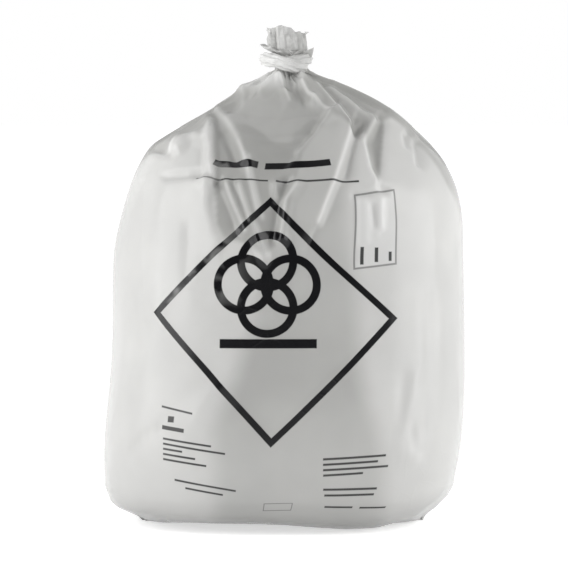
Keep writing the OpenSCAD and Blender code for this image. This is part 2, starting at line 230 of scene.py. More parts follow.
# Folds on the printed face: height, reach on both sides of the line (left and right where it runs down), how
# much painted highlight (or painted shade, below 0) the crease gets, and the line. Reach and line are in
# pixels of the photo frame.
FOLD_GAIN = 1.15
FOLD_RUN_OUT = 2.2          # reaches over which a fold runs out
FOLD_POWER = 1.4            # 1 is a straight flank, and more is a sharper crest
CREASE_HALF = 2.3           # half the width of a crease's painted highlight or shade, in pixels
CREASE_SHIFT = 0.7          # how far it lies on the steep flank, in pixels
FOLD_FACING = (0.12, 0.4)
FRONT_FOLDS = [
    (9, 4, 9, 0.8, ((218, 110), (228, 121), (238, 138), (245, 156))),
    (-4, 3, 4, 0.0, ((217, 122), (226, 141), (235, 160))),
    (3, 5, 5, 0.9, ((245, 156), (250, 180), (258, 214))),
    (1, 3, 3, 0.7, ((249, 158), (254, 182), (263, 218))),
    (10, 9, 3, 0.9, ((211, 120), (212, 150), (213, 177))),
    (6, 3, 16, 0.2, ((330, 115), (318, 131), (308, 143), (299, 153))),
    (4, 8, 4, -0.3, ((331, 115), (341, 123), (348, 130))),
    (9, 16, 4, 0.9, ((349, 134), (342, 156), (333, 182), (317, 221))),
    (-4, 3, 3, -0.8, ((350, 130), (355, 134), (363, 126))),
    (-5, 5, 5, 0.0, ((356, 136), (352, 150), (346, 175))),
    (8, 8, 3, 0.6, ((374, 121), (362, 143), (368, 168), (375, 182))),
    (-2.5, 6, 5, -0.4, ((380, 124), (374, 144), (377, 164))),
    (-1, 4, 4, -0.3, ((382, 126), (379, 148), (379, 172))),
    (2, 4, 14, 0.2, ((386, 120), (384, 146), (382, 180))),
    (-5, 3, 5, -0.7, ((407, 134), (409, 143))),
    (-5, 3, 5, -0.7, ((418, 141), (421, 162))),
    (-8, 4, 5, -0.8, ((151, 146), (162, 150), (169, 153))),
    (6, 5, 6, 0.7, ((177, 140), (169, 151))),
    (5, 6, 5, 0.4, ((203, 139), (193, 134), (184, 137), (176, 148))),
    (-4, 3, 4, -0.4, ((166, 177), (190, 175), (200, 175))),
    (-4, 3, 4, -0.8, ((196, 175), (207, 174), (214, 179), (222, 186))),
    (-4, 4, 4, -0.2, ((202, 141), (202, 172))),
    (5, 12, 4, 0.3, ((207, 181), (206, 205), (217, 243))),
    (-3, 8, 4, -0.1, ((219, 183), (227, 204), (234, 224))),
    (-1, 3, 3, -0.25, ((211, 184), (211, 207), (216, 232))),
    (7, 4, 4, 0.7, ((226, 183), (235, 204), (241, 217), (246, 230))),
    (-4, 3, 4, 0.0, ((233, 184), (241, 204), (246, 217))),
    (8, 5, 4, 0.7, ((239, 184), (250, 216), (265, 255))),
    (5, 3, 3, 0.5, ((274, 183), (276, 198))),
    (8, 5, 5, 0.6, ((297, 184), (286, 199), (281, 238))),
    (-6, 5, 5, 0.0, ((287, 181), (279, 205), (274, 235))),
    (-7, 3, 4, -0.6, ((284, 73), (286, 84))),
    (7, 8, 5, 0.4, ((277, 76), (262, 89))),
    (4, 8, 5, 0.3, ((268, 75), (246, 86))),
    (5, 4, 4, 0.4, ((281, 77), (285, 88), (290, 100))),
    (-5, 9, 8, -0.4, ((296, 87), (304, 98))),
    (-2, 4, 4, -0.35, ((301, 88), (309, 99))),
    (7, 4, 5, 0.5, ((302, 79), (307, 90), (313, 98))),
    (6, 4, 4, 0.7, ((313, 98), (322, 106), (331, 112))),
    (4, 4, 3, 0.5, ((316, 83), (335, 104), (348, 128))),
    (-3, 3, 3, -0.2, ((323, 84), (343, 107), (352, 121))),
    (3.5, 3, 4, 0.3, ((330, 85), (351, 104), (366, 116))),
    (-3, 3, 3, -0.2, ((340, 88), (362, 104), (376, 114))),
    (2, 4, 3, 0.3, ((243, 90), (242, 104))),
    (-3.5, 6, 6, -0.15, ((228, 110), (250, 114), (283, 117), (322, 112))),
    (-3.5, 5, 5, -0.15, ((246, 129), (276, 134), (310, 131))),
    (-3, 4, 4, -0.1, ((262, 141), (283, 143), (300, 141))),
    (2, 3, 3, 0.3, ((366, 200), (367, 240))),
    (-3, 3, 3, -0.5, ((374, 206), (376, 226))),
    (4, 6, 3, 0.4, ((381, 198), (380, 226))),
    (2, 3, 3, 0.5, ((358, 198), (358, 244))),
    (-3, 3, 3, -0.6, ((355, 195), (372, 194), (386, 191))),
    (-2, 3, 3, -0.2, ((355, 197), (355, 262))),
    (3, 6, 9, 0.15, ((416, 372), (411, 402), (400, 450))),
    (-1.5, 4, 5, 0.0, ((404, 384), (401, 424))),
    (-4, 3, 3, -0.4, ((413, 428), (414, 440))),
    (3, 3, 3, 0.6, ((410, 458), (421, 462))),
    (-2, 3, 3, -0.35, ((128, 450), (142, 437), (160, 429))),
    (-1.5, 5, 5, 0.0, ((188, 224), (186, 272))),
    (3, 9, 12, 0.0, ((235, 372), (216, 394), (194, 420))),
    (-3, 7, 9, 0.0, ((142, 190), (139, 250), (143, 320))),
    (-3, 6, 8, 0.0, ((428, 300), (430, 360), (424, 430))),
]

# The upper edge of the load where it shows through the printed face, in pixels of the photo frame, and its
# height round the back
LOAD_EDGE = [(100, 222), (112, 198), (130, 168), (150, 151), (165, 149), (180, 139), (193, 133), (201, 139),
             (206, 125), (211, 121), (214, 176), (217, 222), (224, 236), (242, 240), (264, 254), (282, 238),
             (292, 195), (303, 152), (318, 131), (331, 118), (341, 124), (349, 131), (355, 135), (364, 133),
             (366, 143), (372, 169), (376, 181), (379, 179), (385, 119), (392, 116), (400, 121), (425, 146),
             (440, 167), (455, 196), (470, 222)]
LOAD_EDGE_SOFT = (-2, 5)
LOAD_SIDE_SOFT = 22         # how much softer the edge is where the film turns to the side
LOAD_SIDE, LOAD_FACING = (0.2, 0.45), (-0.2, 0.45)
LOAD_BACK = 530.0
LOAD_BACK_SOFT = 25
LOAD_BACK_WAVES = ((14, 60, 0), (8, 27, 1))     # height, length and shift

# Painted shade down the middle of the print: pixel row, left end, right end, how much load light it takes
# off
MIDDLE_PAINTED_SHADE = [(140, 272, 345, 0.6), (180, 272, 345, 0.6), (240, 270, 350, 0.6), (290, 258, 356, 0.6),
               (330, 250, 360, 0.75), (380, 235, 362, 0.85), (430, 212, 378, 0.65), (470, 215, 385, 0.5),
               (520, 215, 385, 0.5)]
MIDDLE_SHADE_SOFT = (-14, 16)     # pixels

# The load
LOAD_SEED = 5
LOAD_COLUMNS, LOAD_ROWS, LOAD_SAMPLES = 150, 46, 90
LOAD_FOOT, LOAD_LOWEST, LOAD_HIGHEST = 4, 3, 600
LOAD_INSET, LOAD_SHOULDER_INSET = 9, 9
LOAD_SINK = 6               # how far its top lies below the edge that shows
LOAD_CENTRE = np.array([5.0, 0.0, 545.0])
CROWN_SHARES = np.linspace(0.94, 0.05, 16)
CROWN_RISE = 26
FLOOR_SHARES = np.linspace(0.08, 0.92, 8)
LOAD_LUMPS = ((12, 2.5), (40, 3.0))             # rounds of smoothing and height
LUMP_LIMIT, LUMP_SINK, LUMP_START = 4.5, 2, (4, 30)

# The print, in pixels of the photo frame. A bar is the two ends of its middle line and its thickness. A
# block of rows is the left end of its first row, the step between rows, their slope, lengths and thickness.
SQUARE_CORNERS = ((157, 312), (270.5, 201), (393, 318), (271, 444))
SQUARE_MIDDLE = (271, 318)
RINGS_MIDDLE = (267, 284)
BOLD_BARS = (((215, 163.5), (258, 164.5), 7), ((265, 165.5), (330, 164), 7), ((220, 343.5), (317, 343.5), 9))
PANEL = ((355.5, 231), (396.5, 226), 71)
FOOT_FRAME = ((263, 509), (291, 509), 9)
FINE_BARS = (((196, 178), (268, 180), 1.6), ((276, 180.5), (359, 181), 2), ((360, 255), (363.5, 255), 17),
             ((374.5, 254), (378, 254), 14), ((388.5, 255.5), (391.5, 255.5), 9),
             ((162, 407), (193, 414.5), 2), ((168, 420), (174, 420.5), 6), ((162, 428), (184, 432), 4),
             ((174, 481.5), (235, 493), 2), ((184.5, 490), (222, 497), 2),
             ((323, 491.5), (377, 490.3), 2.2), ((324, 497.3), (374, 496.2), 2.2),
             ((324, 508.5), (352, 509), 2), ((359, 509.5), (385, 508.5), 2))
FINE_BLOCKS = (((163, 439.5), 5.2, 0.17, (48, 62, 19, 32, 43), 2),
               ((323, 460.6), 5.5, -0.065, (63, 55, 65, 40), 2.2))

# The print's lines and wear in metres of flat film, with ink and wear as shares
RING_OFFSET, RING_RADIUS = 0.033, 0.037
SQUARE_LINE, RING_LINE, FOOT_LINE, PANEL_LINE = 0.0047, 0.0058, 0.0006, 0.0014     # half their widths
INK_EDGE = 0.0006
BOLD_INK, FINE_INK, FAINT_INK = 1.0, 0.94, 0.6
WEAR_SIDE, WEAR_UP, WEAR_MOST, WEAR_PATCHES = (0.01, 0.12), 0.05, 0.3, (0.48, 0.60)

# Colours of the film, the load and the studio
WHITE = (1, 1, 1, 1)
INK_BLACK = (0.004, 0.004, 0.005, 1)
# Painted shade on film with nothing behind it, painted light on film over the load
FILM_PAINTED_SHADE = ((0.395, 0.395, 0.38, 1), (0.475, 0.473, 0.455, 1))
FILM_PAINTED_LOAD_LIGHT = ((0.645, 0.643, 0.628, 1), (0.715, 0.713, 0.698, 1))
PANEL_WHITE = (0.82, 0.82, 0.815, 1)
# Painted highlight on the ridges of creases, painted shade in their valleys
CREASE_PAINTED_HIGHLIGHT, CREASE_PAINTED_SHADE = (0.9, 0.9, 0.89, 1), (0.22, 0.22, 0.21, 1)
LAYERED_WHITE = (0.82, 0.82, 0.81, 1)
LOAD_PALE, LOAD_GREY, LOAD_WHITE = (0.74, 0.74, 0.73, 1), (0.58, 0.585, 0.59, 1), (0.82, 0.82, 0.81, 1)
FLOOR_GREY = (0.8, 0.8, 0.8, 1)

# The finishes, with places in metres: the film is paler and less see-through towards the neck
LAYERED_HEIGHT, LAYERED_SIDE, GATHERED_HEIGHT = (0.626, 0.660), (0.01, 0.04), (0.60, 0.67)
LAYERED_SHARE, PANEL_SHARE, RIDGE_HIGHLIGHT_SHARE, VALLEY_SHADE_SHARE = 0.85, 0.35, 0.8, 0.75
PANEL_EDGE = 0.001
FILM_MILK, GATHERED_MILK, CREASE_MILK = (0.72, 0.80), 0.22, 0.12               # how opaque the film is
NOISE_MIDDLE = (0.3, 0.7)   # the noise between which a finish changes
FILM_ROUGH, GATHERED_ROUGH, LOAD_ROUGH = (0.15, 0.26), (0.24, 0.38), (0.75, 0.9)
KNOT_SIDE = 0.02            # half the width over which the knot's tone changes from painted light to painted shade
KNOT_SIDE_LIGHT_AND_SHADE = (0.55, -0.5)  # added to its cloudiness: painted light on the left and painted shade on the right
GATHERED_CLOUDS = (0.25, 0.75)
GATHERED_SPREAD, GATHERED_WARMTH, GATHERED_CLEARER = 0.07, 0.012, 0.08
LOAD_CELLS, LOAD_SHADE, LOAD_MOTTLE, LOAD_WHITE_SHARE = 13, (0.1, 0.75), (0.45, 0.75), 0.5

# Fine creases in the film's finish: the waves that bend them, their number and width, and where they fade
CREASE_WAVES, CREASE_WAVE_SIZE = 14, 0.05
CREASE_CELLS, CREASE_WIDTH = 22, 0.06
CREASE_PATCHES = (0.48, 0.66)

# The studio, in metres, and where the world's light changes from the front to the rear
FLOOR_CORNERS = [(-30, -2.5, 0), (30, -2.5, 0), (30, 60, 0), (-30, 60, 0)]
FLOOR_GLOW = 0.6
LIGHT_CHANGE, WHITE_CHANGE = (-0.9, -0.2), (-0.4, 0.1)


def smooth_line(points, at):
    """A smooth line through (place, value) points that never overshoots them, read at each place."""
    x, y = np.array(points, float).T
    step = np.diff(x)
    slope = np.diff(y) / step
    tangent = np.zeros(len(x))
    same_way = slope[:-1] * slope[1:] > 0
    mean = 2 * slope[:-1] * slope[1:] / np.where(same_way, slope[:-1] + slope[1:], 1)
    tangent[1:-1] = np.where(same_way, mean, 0)
    tangent[0], tangent[-1] = slope[0], slope[-1]
    at = np.clip(at, x[0], x[-1])
    i = np.clip(np.searchsorted(x, at) - 1, 0, len(x) - 2)
    t = (at - x[i]) / step[i]
    return ((1 + 2 * t) * (1 - t) ** 2 * y[i] + t * (1 - t) ** 2 * step[i] * tangent[i]
            + t * t * (3 - 2 * t) * y[i + 1] + t * t * (t - 1) * step[i] * tangent[i + 1])


def ramp(value, low, high):
    """0 below low, 1 above high and a smooth rise between them."""
    t = np.clip((value - low) / (high - low), 0, 1)
    return t * t * (3 - 2 * t)


def path_length(*ways):
    """Length along a path, from its first point to each of its points."""
    return np.concatenate([[0], np.cumsum(np.sqrt(sum(np.diff(w) ** 2 for w in ways)))])


def soft_noise(shape, rounds, rng):
    """Smooth noise of standard deviation 1 on a grid whose columns close into a ring."""
    noise = rng.normal(size=shape)
    for _ in range(rounds):
        noise = (noise + np.roll(noise, 1, 1) + np.roll(noise, -1, 1)) / 3
        noise[1:-1] = (noise[:-2] + noise[1:-1] + noise[2:]) / 3
    return noise / noise.std()


def section(z, turn):
    """The plan of the bag at heights z: one row per height, one column per turn."""
    left, right = smooth_line(LEFT_EDGE, z), smooth_line(RIGHT_EDGE, z)
    depth = smooth_line(FRONT_EDGE, z)[:, None]
    power = (2 / (PLAN_POWER - PLAN_POWER_LESS * ramp(z, *PLAN_CHANGE)))[:, None]
    middle, half = ((left + right) / 2)[:, None], ((right - left) / 2)[:, None]
    c, s = np.cos(turn), np.sin(turn)
    return middle + half * np.sign(c) * np.abs(c) ** power, depth * np.sign(s) * np.abs(s) ** power


def front_lift(points):
    """How far the film of the base and the wall above it is lifted off the floor in front."""
    x, y, z = points[..., 0], points[..., 1], points[..., 2]
    return smooth_line(FRONT_LIFT, x) * ramp(-y, 0, LIFT_REACH) * np.clip(1 - z / LIFT_REACH, 0, 1) ** 2


def film_grid():
    """The smooth shape of the film as a grid of points, with the film's flat width and length at each."""
    fine = np.linspace(-1.5 * math.pi, 0.5 * math.pi, FINE_TURNS)
    x, y = section(np.array([GIRTH_HEIGHT]), fine)
    girth = path_length(x[0], y[0])
    share = (np.arange(FILM_COLUMNS) + 0.5) / FILM_COLUMNS - 0.5
    flat_u = girth[-1] * (share - FRONT_CROWD * np.sin(2 * math.pi * share) / (2 * math.pi))
    turn = np.interp(flat_u + girth[-1] / 2, girth, fine)
    tall = np.linspace(0, FILM_TOP, FINE_HEIGHTS)
    half = (smooth_line(RIGHT_EDGE, tall) - smooth_line(LEFT_EDGE, tall)) / 2
    front = smooth_line(FRONT_EDGE, tall)
    rise = path_length((half + front) / 2, tall)
    count = np.cumsum(np.gradient(rise) / (ROW_STEP - ROW_STEP_LESS * ramp(tall, *ROW_STEP_CHANGE)))
    z = np.interp(np.linspace(count[0], count[-1], FILM_ROWS), count, tall)
    x, y = section(z, turn)
    shares = np.linspace(BASE_HOLE, 1, BASE_ROWS, endpoint=False)
    points = np.zeros((BASE_ROWS + FILM_ROWS, FILM_COLUMNS, 3))
    points[:BASE_ROWS, :, 0] = x[0].mean() + shares[:, None] * (x[0] - x[0].mean())
    points[:BASE_ROWS, :, 1] = shares[:, None] * y[0]
    points[BASE_ROWS:, :, 0], points[BASE_ROWS:, :, 1], points[BASE_ROWS:, :, 2] = x, y, z[:, None]
    points[:, :, 2] += front_lift(points)
    climb = path_length(front, tall)
    flat_v = np.interp(z, tall, climb) - np.interp(FLAT_HEIGHT, tall, climb) + FLAT_HEIGHT
    flat_v = np.concatenate([flat_v[0] - (1 - shares) * BASE_FLAT, flat_v])
    return points, flat_u, flat_v


def grid_normals(points):
    """Normals of a grid of points whose columns close into a ring."""
    across = np.roll(points, -1, 1) - np.roll(points, 1, 1)
    up = np.zeros_like(points)
    up[1:-1] = points[2:] - points[:-2]
    up[0], up[-1] = up[1], up[-2]
    normal = np.cross(across, up)
    return normal / (np.linalg.norm(normal, axis=2, keepdims=True) + NOT_ZERO)


def facing_front(normal, low, high):
    """1 where the film faces the front by more than high, 0 below low and a smooth rise between them."""
    return ramp(-normal[:, :, 1], low, high)


def photo_pixels(points):
    """Where points of the bag appear in the photograph."""
    height = points[..., 2] * math.cos(CAMERA_LIFT) + points[..., 1] * math.sin(CAMERA_LIFT)
    middle = IMAGE_SIDE / 2
    across = PIXEL_MIDDLE + points[..., 0] / PIXEL_MM - middle
    down = PIXEL_FLOOR - (height + BASE_DROP) / PIXEL_MM - middle
    depth = points[..., 1] * math.cos(CAMERA_LIFT) + down * PIXEL_MM * math.sin(CAMERA_LIFT)
    nearer = CAMERA_RANGE / (CAMERA_RANGE + depth)
    return middle + across * nearer, middle + down * nearer


def flat_place(pixel, points, normal, flat_u, flat_v):
    """The place on the flat film that appears at a pixel of the photograph."""
    px, py = photo_pixels(points)
    away = np.hypot(px - pixel[0], py - pixel[1]) + FAR_AWAY * (normal[:, :, 1] > -EDGE_ON)
    row, column = np.unravel_index(np.argmin(away), away.shape)
    step_u, step_v = flat_u[column + 1] - flat_u[column - 1], flat_v[row + 1] - flat_v[row - 1]
    slopes = [((p[row, column + 1] - p[row, column - 1]) / step_u,
               (p[row + 1, column] - p[row - 1, column]) / step_v) for p in (px, py)]
    gap = [pixel[0] - px[row, column], pixel[1] - py[row, column]]
    du, dv = np.linalg.solve(np.array(slopes), gap)
    return flat_u[column] + du, flat_v[row] + dv


def softened(values):
    """Values on the grid of the film, each shared out a little among its neighbours."""
    soft = values.copy()
    soft[1:-1] = (values[:-2] + 2 * values[1:-1] + values[2:]) / 4
    return (np.roll(soft, 1, 1) + 2 * soft + np.roll(soft, -1, 1)) / 4


def painted_load_light(points, normal):
    """How far each point of the film lies on the load, from 0 above it to 1 below its upper edge."""
    # The share paints the film lighter over the load and darker above it: painted light and shade
    px, py = photo_pixels(points)
    edge_x, edge_y = np.array(LOAD_EDGE, float).T
    soft = LOAD_SIDE_SOFT * (1 - facing_front(normal, *LOAD_SIDE))
    below = (py - np.interp(px, edge_x, edge_y)) * PIXEL_MM
    front = ramp(below, LOAD_EDGE_SOFT[0] - soft, LOAD_EDGE_SOFT[1] + soft)
    # Painted shade down the middle of the printed face
    row, left, right, less = np.array(MIDDLE_PAINTED_SHADE, float).T
    off_side = np.minimum(px - np.interp(py, row, left), np.interp(py, row, right) - px)
    front *= 1 - np.interp(py, row, less) * ramp(off_side, *MIDDLE_SHADE_SOFT)
    x = points[:, :, 0]
    uneven = sum(height * np.sin(x / length + shift) for height, length, shift in LOAD_BACK_WAVES)
    back = ramp(LOAD_BACK + uneven - points[:, :, 2], -LOAD_BACK_SOFT, LOAD_BACK_SOFT)
    return softened(back + (front - back) * facing_front(normal, *LOAD_FACING))


def fold_push(points, normal):
    """How far the printed face's folds push the film out, and the painted highlight or shade of their
    creases.
    """
    px, py = photo_pixels(points)
    push = np.zeros(px.shape)
    crease = np.zeros(px.shape)
    for height, left, right, white, path in FRONT_FOLDS:
        near = np.full(px.shape, FAR_AWAY)
        side = np.zeros(px.shape)
        for (ax, ay), (bx, by) in zip(path[:-1], path[1:]):
            dx, dy = bx - ax, by - ay
            t = np.clip(((px - ax) * dx + (py - ay) * dy) / (dx * dx + dy * dy), 0, 1)
            away = np.hypot(px - ax - t * dx, py - ay - t * dy)
            side = np.where(away < near, dx * (py - ay) - dy * (px - ax), side)
            near = np.minimum(near, away)
        reach = np.where(side > 0, left, right)
        push += FOLD_GAIN * height * np.clip(1 - near / (FOLD_RUN_OUT * reach), 0, 1) ** FOLD_POWER
        inside = near * np.where(reach <= min(left, right), 1, -1)
        line = white * np.clip(1 - np.abs(inside - CREASE_SHIFT * (left != right)) / CREASE_HALF, 0, 1)
        crease = np.where(np.abs(line) > np.abs(crease), line, crease)
    facing = facing_front(normal, *FOLD_FACING)
    return softened(push) * facing, softened(crease) * facing


def calm_front(points, normal):
    """1 on the printed face, where the film has broad facets in place of fine gathers, and 0 elsewhere."""
    return facing_front(normal, *CALM_FACING) * (1 - ramp(points[:, :, 2], *CALM_END))


def gather_push(points, normal, flat_u, rng):
    """The gathers that run down from the neck, finer towards it."""
    z = points[:, :, 2]
    round_it = flat_u[None, :] / flat_u.max() * math.pi
    push = np.zeros(z.shape)
    for count, size in GATHERS:
        drift = rng.uniform(-0.5, 0.5) * (z - GATHER_TOP) / GATHER_DRIFT
        wave = np.cos(count * (round_it + drift) + rng.uniform(0, 2 * math.pi))
        push += size * (wave - GATHER_SINK) * ramp(z, GATHER_FOOT + GATHER_FOOT_STEP * count, GATHER_TOP)
    calm = 1 - GATHER_CALM * calm_front(points, normal)
    return push * calm * (1 - GATHER_CLOSE * ramp(z, *CLOSE_CHANGE))


def pair_moves(a, b, free_a, free_b, length, pull):
    """How far the two ends of each length of film move to give it back its length."""
    way = b - a
    size = np.linalg.norm(way, axis=-1, keepdims=True) + NOT_ZERO
    gap = size - length[..., None]
    move = way / size * gap * np.where(gap > 0, *pull) / (free_a + free_b + HARDLY_FREE)
    return move * free_a, -move * free_b


def relax(start, normal, free, row_slack, column_slack, low, high, steps, bend, last_bend):
    """Lets a tube of film find its folds: it keeps its lengths, within two limits off its start."""
    points, before = start.copy(), start.copy()
    rows, columns = points.shape[:2]
    w = free[:, :, None]
    row_length = np.linalg.norm(np.roll(start, -1, 1) - start, axis=2) * row_slack
    column_length = np.linalg.norm(start[1:] - start[:-1], axis=2) * column_slack[:-1]
    both = np.sqrt(row_slack * column_slack)[:-1]
    cross_length = {}
    for turn in (-1, 1):
        cross_length[turn] = np.linalg.norm(np.roll(start, turn, 1)[1:] - start[:-1], axis=2) * both
    for step in range(steps):
        speed = (points - before) * SPEED_KEPT
        before = points.copy()
        points = points + speed * w
        for first in (0, 1):
            a = np.arange(first, columns, 2)
            b = (a + 1) % columns
            da, db = pair_moves(points[:, a], points[:, b], w[:, a], w[:, b], row_length[:, a], THREAD_PULL)
            points[:, a] += da
            points[:, b] += db
        for first in (0, 1):
            a = np.arange(first, rows - 1, 2)
            da, db = pair_moves(points[a], points[a + 1], w[a], w[a + 1], column_length[a], THREAD_PULL)
            points[a] += da
            points[a + 1] += db
            for turn in (-1, 1):
                far, free_far = np.roll(points, turn, 1)[a + 1], np.roll(w, turn, 1)[a + 1]
                da, db = pair_moves(points[a], far, w[a], free_far, cross_length[turn][a], CROSS_PULL)
                points[a] += da
                points[a + 1] += np.roll(db, -turn, 1)
        middle = (np.roll(points, 1, 1) + np.roll(points, -1, 1)) / 4
        middle[1:-1] += (points[:-2] + points[2:]) / 4
        middle[0], middle[-1] = points[0], points[-1]
        points += (middle - points) * (bend if step < FIRST_SHARE * steps else last_bend) * w
        off = ((points - start) * normal).sum(-1)
        points += normal * ((np.clip(off, low, high) - off) * LIMIT_PULL)[:, :, None] * w
    return points


def settled_film(points, flat_u, folds):
    """The film with its folds, gathers and soft dents."""
    rng = np.random.default_rng(FILM_SEED)
    normal = grid_normals(points)
    z = points[:, :, 2]
    shoulder = ramp(z, *SHOULDERS)
    loose = 1 - FRONT_TIGHT * calm_front(points, normal)
    push = gather_push(points, normal, flat_u, rng)
    push += soft_noise(z.shape, SMALL_DENT_ROUNDS, rng) * (SMALL_DENT + SMALL_DENT * shoulder) * loose
    broad = 1 - BROAD_DENT_LESS * ramp(z, *BROAD_DENT_CHANGE)
    push += soft_noise(z.shape, BROAD_DENT_ROUNDS, rng) * BROAD_DENT * broad
    push *= ramp(z, *DENT_START) * (1 - ramp(z, *DENT_END))
    start = points + normal * push[:, :, None]
    start[:, :, 2] = np.maximum(start[:, :, 2], FILM_LOWEST)
    more = SHOULDER_SLACK * ramp(z, *SHOULDER_SLACK_CHANGE) + NECK_SLACK * ramp(z, *NECK_SLACK_CHANGE)
    row_slack = ROUND_SLACK + more * loose
    column_slack = UP_SLACK + SHOULDER_UP_SLACK * ramp(z, *UP_SLACK_CHANGE) * loose
    free = np.ones(z.shape)
    free[:BASE_ROWS] = 0
    free[z > HELD_ABOVE] = 0
    low = -(SINK_LIMIT + SHOULDER_SINK_LIMIT * shoulder)
    high = SWELL_LIMIT + SHOULDER_SWELL_LIMIT * shoulder
    shaped = relax(start, normal, free, row_slack, column_slack, low, high, FILM_STEPS, FILM_BEND,
                   FILM_LAST_BEND)
    off = ((shaped - points) * normal).sum(-1)
    drift = off * (1 - ramp(z, *STEADY_END)) * ramp(z, *STEADY_START)
    for _ in range(STEADY_ROUNDS):
        drift = (drift + np.roll(drift, 2, 1) + np.roll(drift, -2, 1)) / 3
        drift[2:-2] = (drift[:-4] + drift[2:-2] + drift[4:]) / 3
    shaped = shaped + normal * (folds - drift)[:, :, None]
    shaped[:, :, 2] = np.maximum(shaped[:, :, 2], FILM_LOWEST)
    return shaped


def new_object(name, vertices, faces):
    """A smooth-shaded mesh object, from millimetres."""
    mesh = bpy.data.meshes.new(name)
    mesh.from_pydata((np.asarray(vertices).reshape(-1, 3) * MM).tolist(), [], faces)
    mesh.update()
    mesh.shade_smooth()
    obj = bpy.data.objects.new(name, mesh)
    bpy.context.scene.collection.objects.link(obj)
    return obj


def tube_faces(rows, columns, first=0):
    """Faces of a tube over a grid of points whose columns close into a ring."""
    index = first + np.arange(rows * columns).reshape(rows, columns)
    beside = np.roll(index, -1, axis=1)
    return np.stack([index[:-1], beside[:-1], beside[1:], index[1:]], axis=-1).reshape(-1, 4).tolist()


def capped_tube(name, grid, top_closed=True):
    """A tube over a grid of points, closed at its foot and, where asked, at its top."""
    rows, columns = grid.shape[:2]
    faces = tube_faces(rows, columns)
    faces.append(list(range(columns))[::-1])
    if top_closed:
        faces.append([(rows - 1) * columns + i for i in range(columns)])
    return new_object(name, grid, faces)


def flat_map(obj, columns, flat_u, flat_v):
    """Gives the film a UV map in metres of flat film."""
    layer = obj.data.uv_layers.new(name="flat_film")
    loops = np.zeros(len(obj.data.loops), int)
    obj.data.loops.foreach_get("vertex_index", loops)
    u = flat_u[loops % columns]
    v = flat_v[loops // columns]
    sizes = np.zeros(len(obj.data.polygons), int)
    obj.data.polygons.foreach_get("loop_total", sizes)
    face = np.repeat(np.arange(len(sizes)), sizes)
    lowest = np.full(len(sizes), 1e9)
    highest = np.full(len(sizes), -1e9)
    np.minimum.at(lowest, face, u)
    np.maximum.at(highest, face, u)
    wraps = (highest - lowest > 0.5 * flat_u.max())[face] & (u < 0)
    u = np.where(wraps, u + 2 * flat_u.max(), u)
    layer.data.foreach_set("uv", np.stack([u, v], axis=1).reshape(-1) * MM)


def bag_film(points, flat_u, flat_v):
    """The film of the bag, with its flat map, and with the load and the creases as attributes."""
    normal = grid_normals(points)
    folds, creases = fold_push(points, normal)
    obj = capped_tube("bag_film", settled_film(points, flat_u, folds), top_closed=False)
    flat_map(obj, FILM_COLUMNS, flat_u, flat_v)
    # The film's painted light from the load, and the painted highlight or shade of its creases
    for name, values in (("on_load", painted_load_light(points, normal)), ("crease", creases)):
        layer = obj.data.attributes.new(name, "FLOAT", "POINT")
        layer.data.foreach_set("value", values.reshape(-1))
    return obj


def load_top(turn, x, y, z_rows):
    """The height of the load's top at each turn: below the edge that shows in front, and level behind."""
    edge_x, edge_y = np.array(LOAD_EDGE, float).T
    top = np.full(LOAD_COLUMNS, LOAD_BACK)
    for c in np.nonzero(np.sin(turn) < 0)[0]:
        px, py = photo_pixels(np.stack([x[:, c], y[:, c], z_rows], axis=1))
        under = np.nonzero(py > np.interp(px, edge_x, edge_y))[0]
        top[c] = z_rows[under[-1]] if len(under) else LOAD_BACK
    top = top - LOAD_SINK
    for _ in range(3):
        top = (np.roll(top, 1) + 2 * top + np.roll(top, -1)) / 4
    return top


def load_body():
    """The soft load: it fills the bag to two humps, with a hollow between them behind the print."""
    rng = np.random.default_rng(LOAD_SEED)
    turn = np.linspace(0, 2 * math.pi, LOAD_COLUMNS, endpoint=False)
    z_rows = np.linspace(LOAD_FOOT, LOAD_HIGHEST, LOAD_SAMPLES)
    x, y = section(z_rows, turn)
    middle = ((smooth_line(LEFT_EDGE, z_rows) + smooth_line(RIGHT_EDGE, z_rows)) / 2)[:, None]
    inset = LOAD_INSET + LOAD_SHOULDER_INSET * ramp(z_rows, *SHOULDERS)[:, None]
    shrink = np.clip(1 - inset / np.hypot(x - middle, y), 0.05, 1)
    x, y = middle + (x - middle) * shrink, y * shrink
    body = np.zeros((LOAD_ROWS, LOAD_COLUMNS, 3))
    for c, top in enumerate(load_top(turn, x, y, z_rows)):
        z = np.linspace(LOAD_FOOT, top, LOAD_ROWS)
        body[:, c, 0] = np.interp(z, z_rows, x[:, c])
        body[:, c, 1] = np.interp(z, z_rows, y[:, c])
        body[:, c, 2] = z
    crown = []
    for share in CROWN_SHARES:
        ring = LOAD_CENTRE + (body[-1] - LOAD_CENTRE) * share
        ring[:, 2] += CROWN_RISE * math.sin(math.pi * share) ** 2
        crown.append(ring)
    floor = [body[0] * [s, s, 1] for s in FLOOR_SHARES]
    grid = np.concatenate([np.array(floor), body, np.array(crown)])
    lumps = sum(soft_noise(grid.shape[:2], rounds, rng) * height for rounds, height in LOAD_LUMPS)
    lumps = np.minimum(lumps, LUMP_LIMIT) * ramp(grid[:, :, 2], *LUMP_START)
    grid = grid + grid_normals(grid) * (lumps - LUMP_SINK)[:, :, None]
    grid[:, :, 2] = np.maximum(grid[:, :, 2], LOAD_LOWEST) + front_lift(grid)
    return capped_tube("load_body", grid)


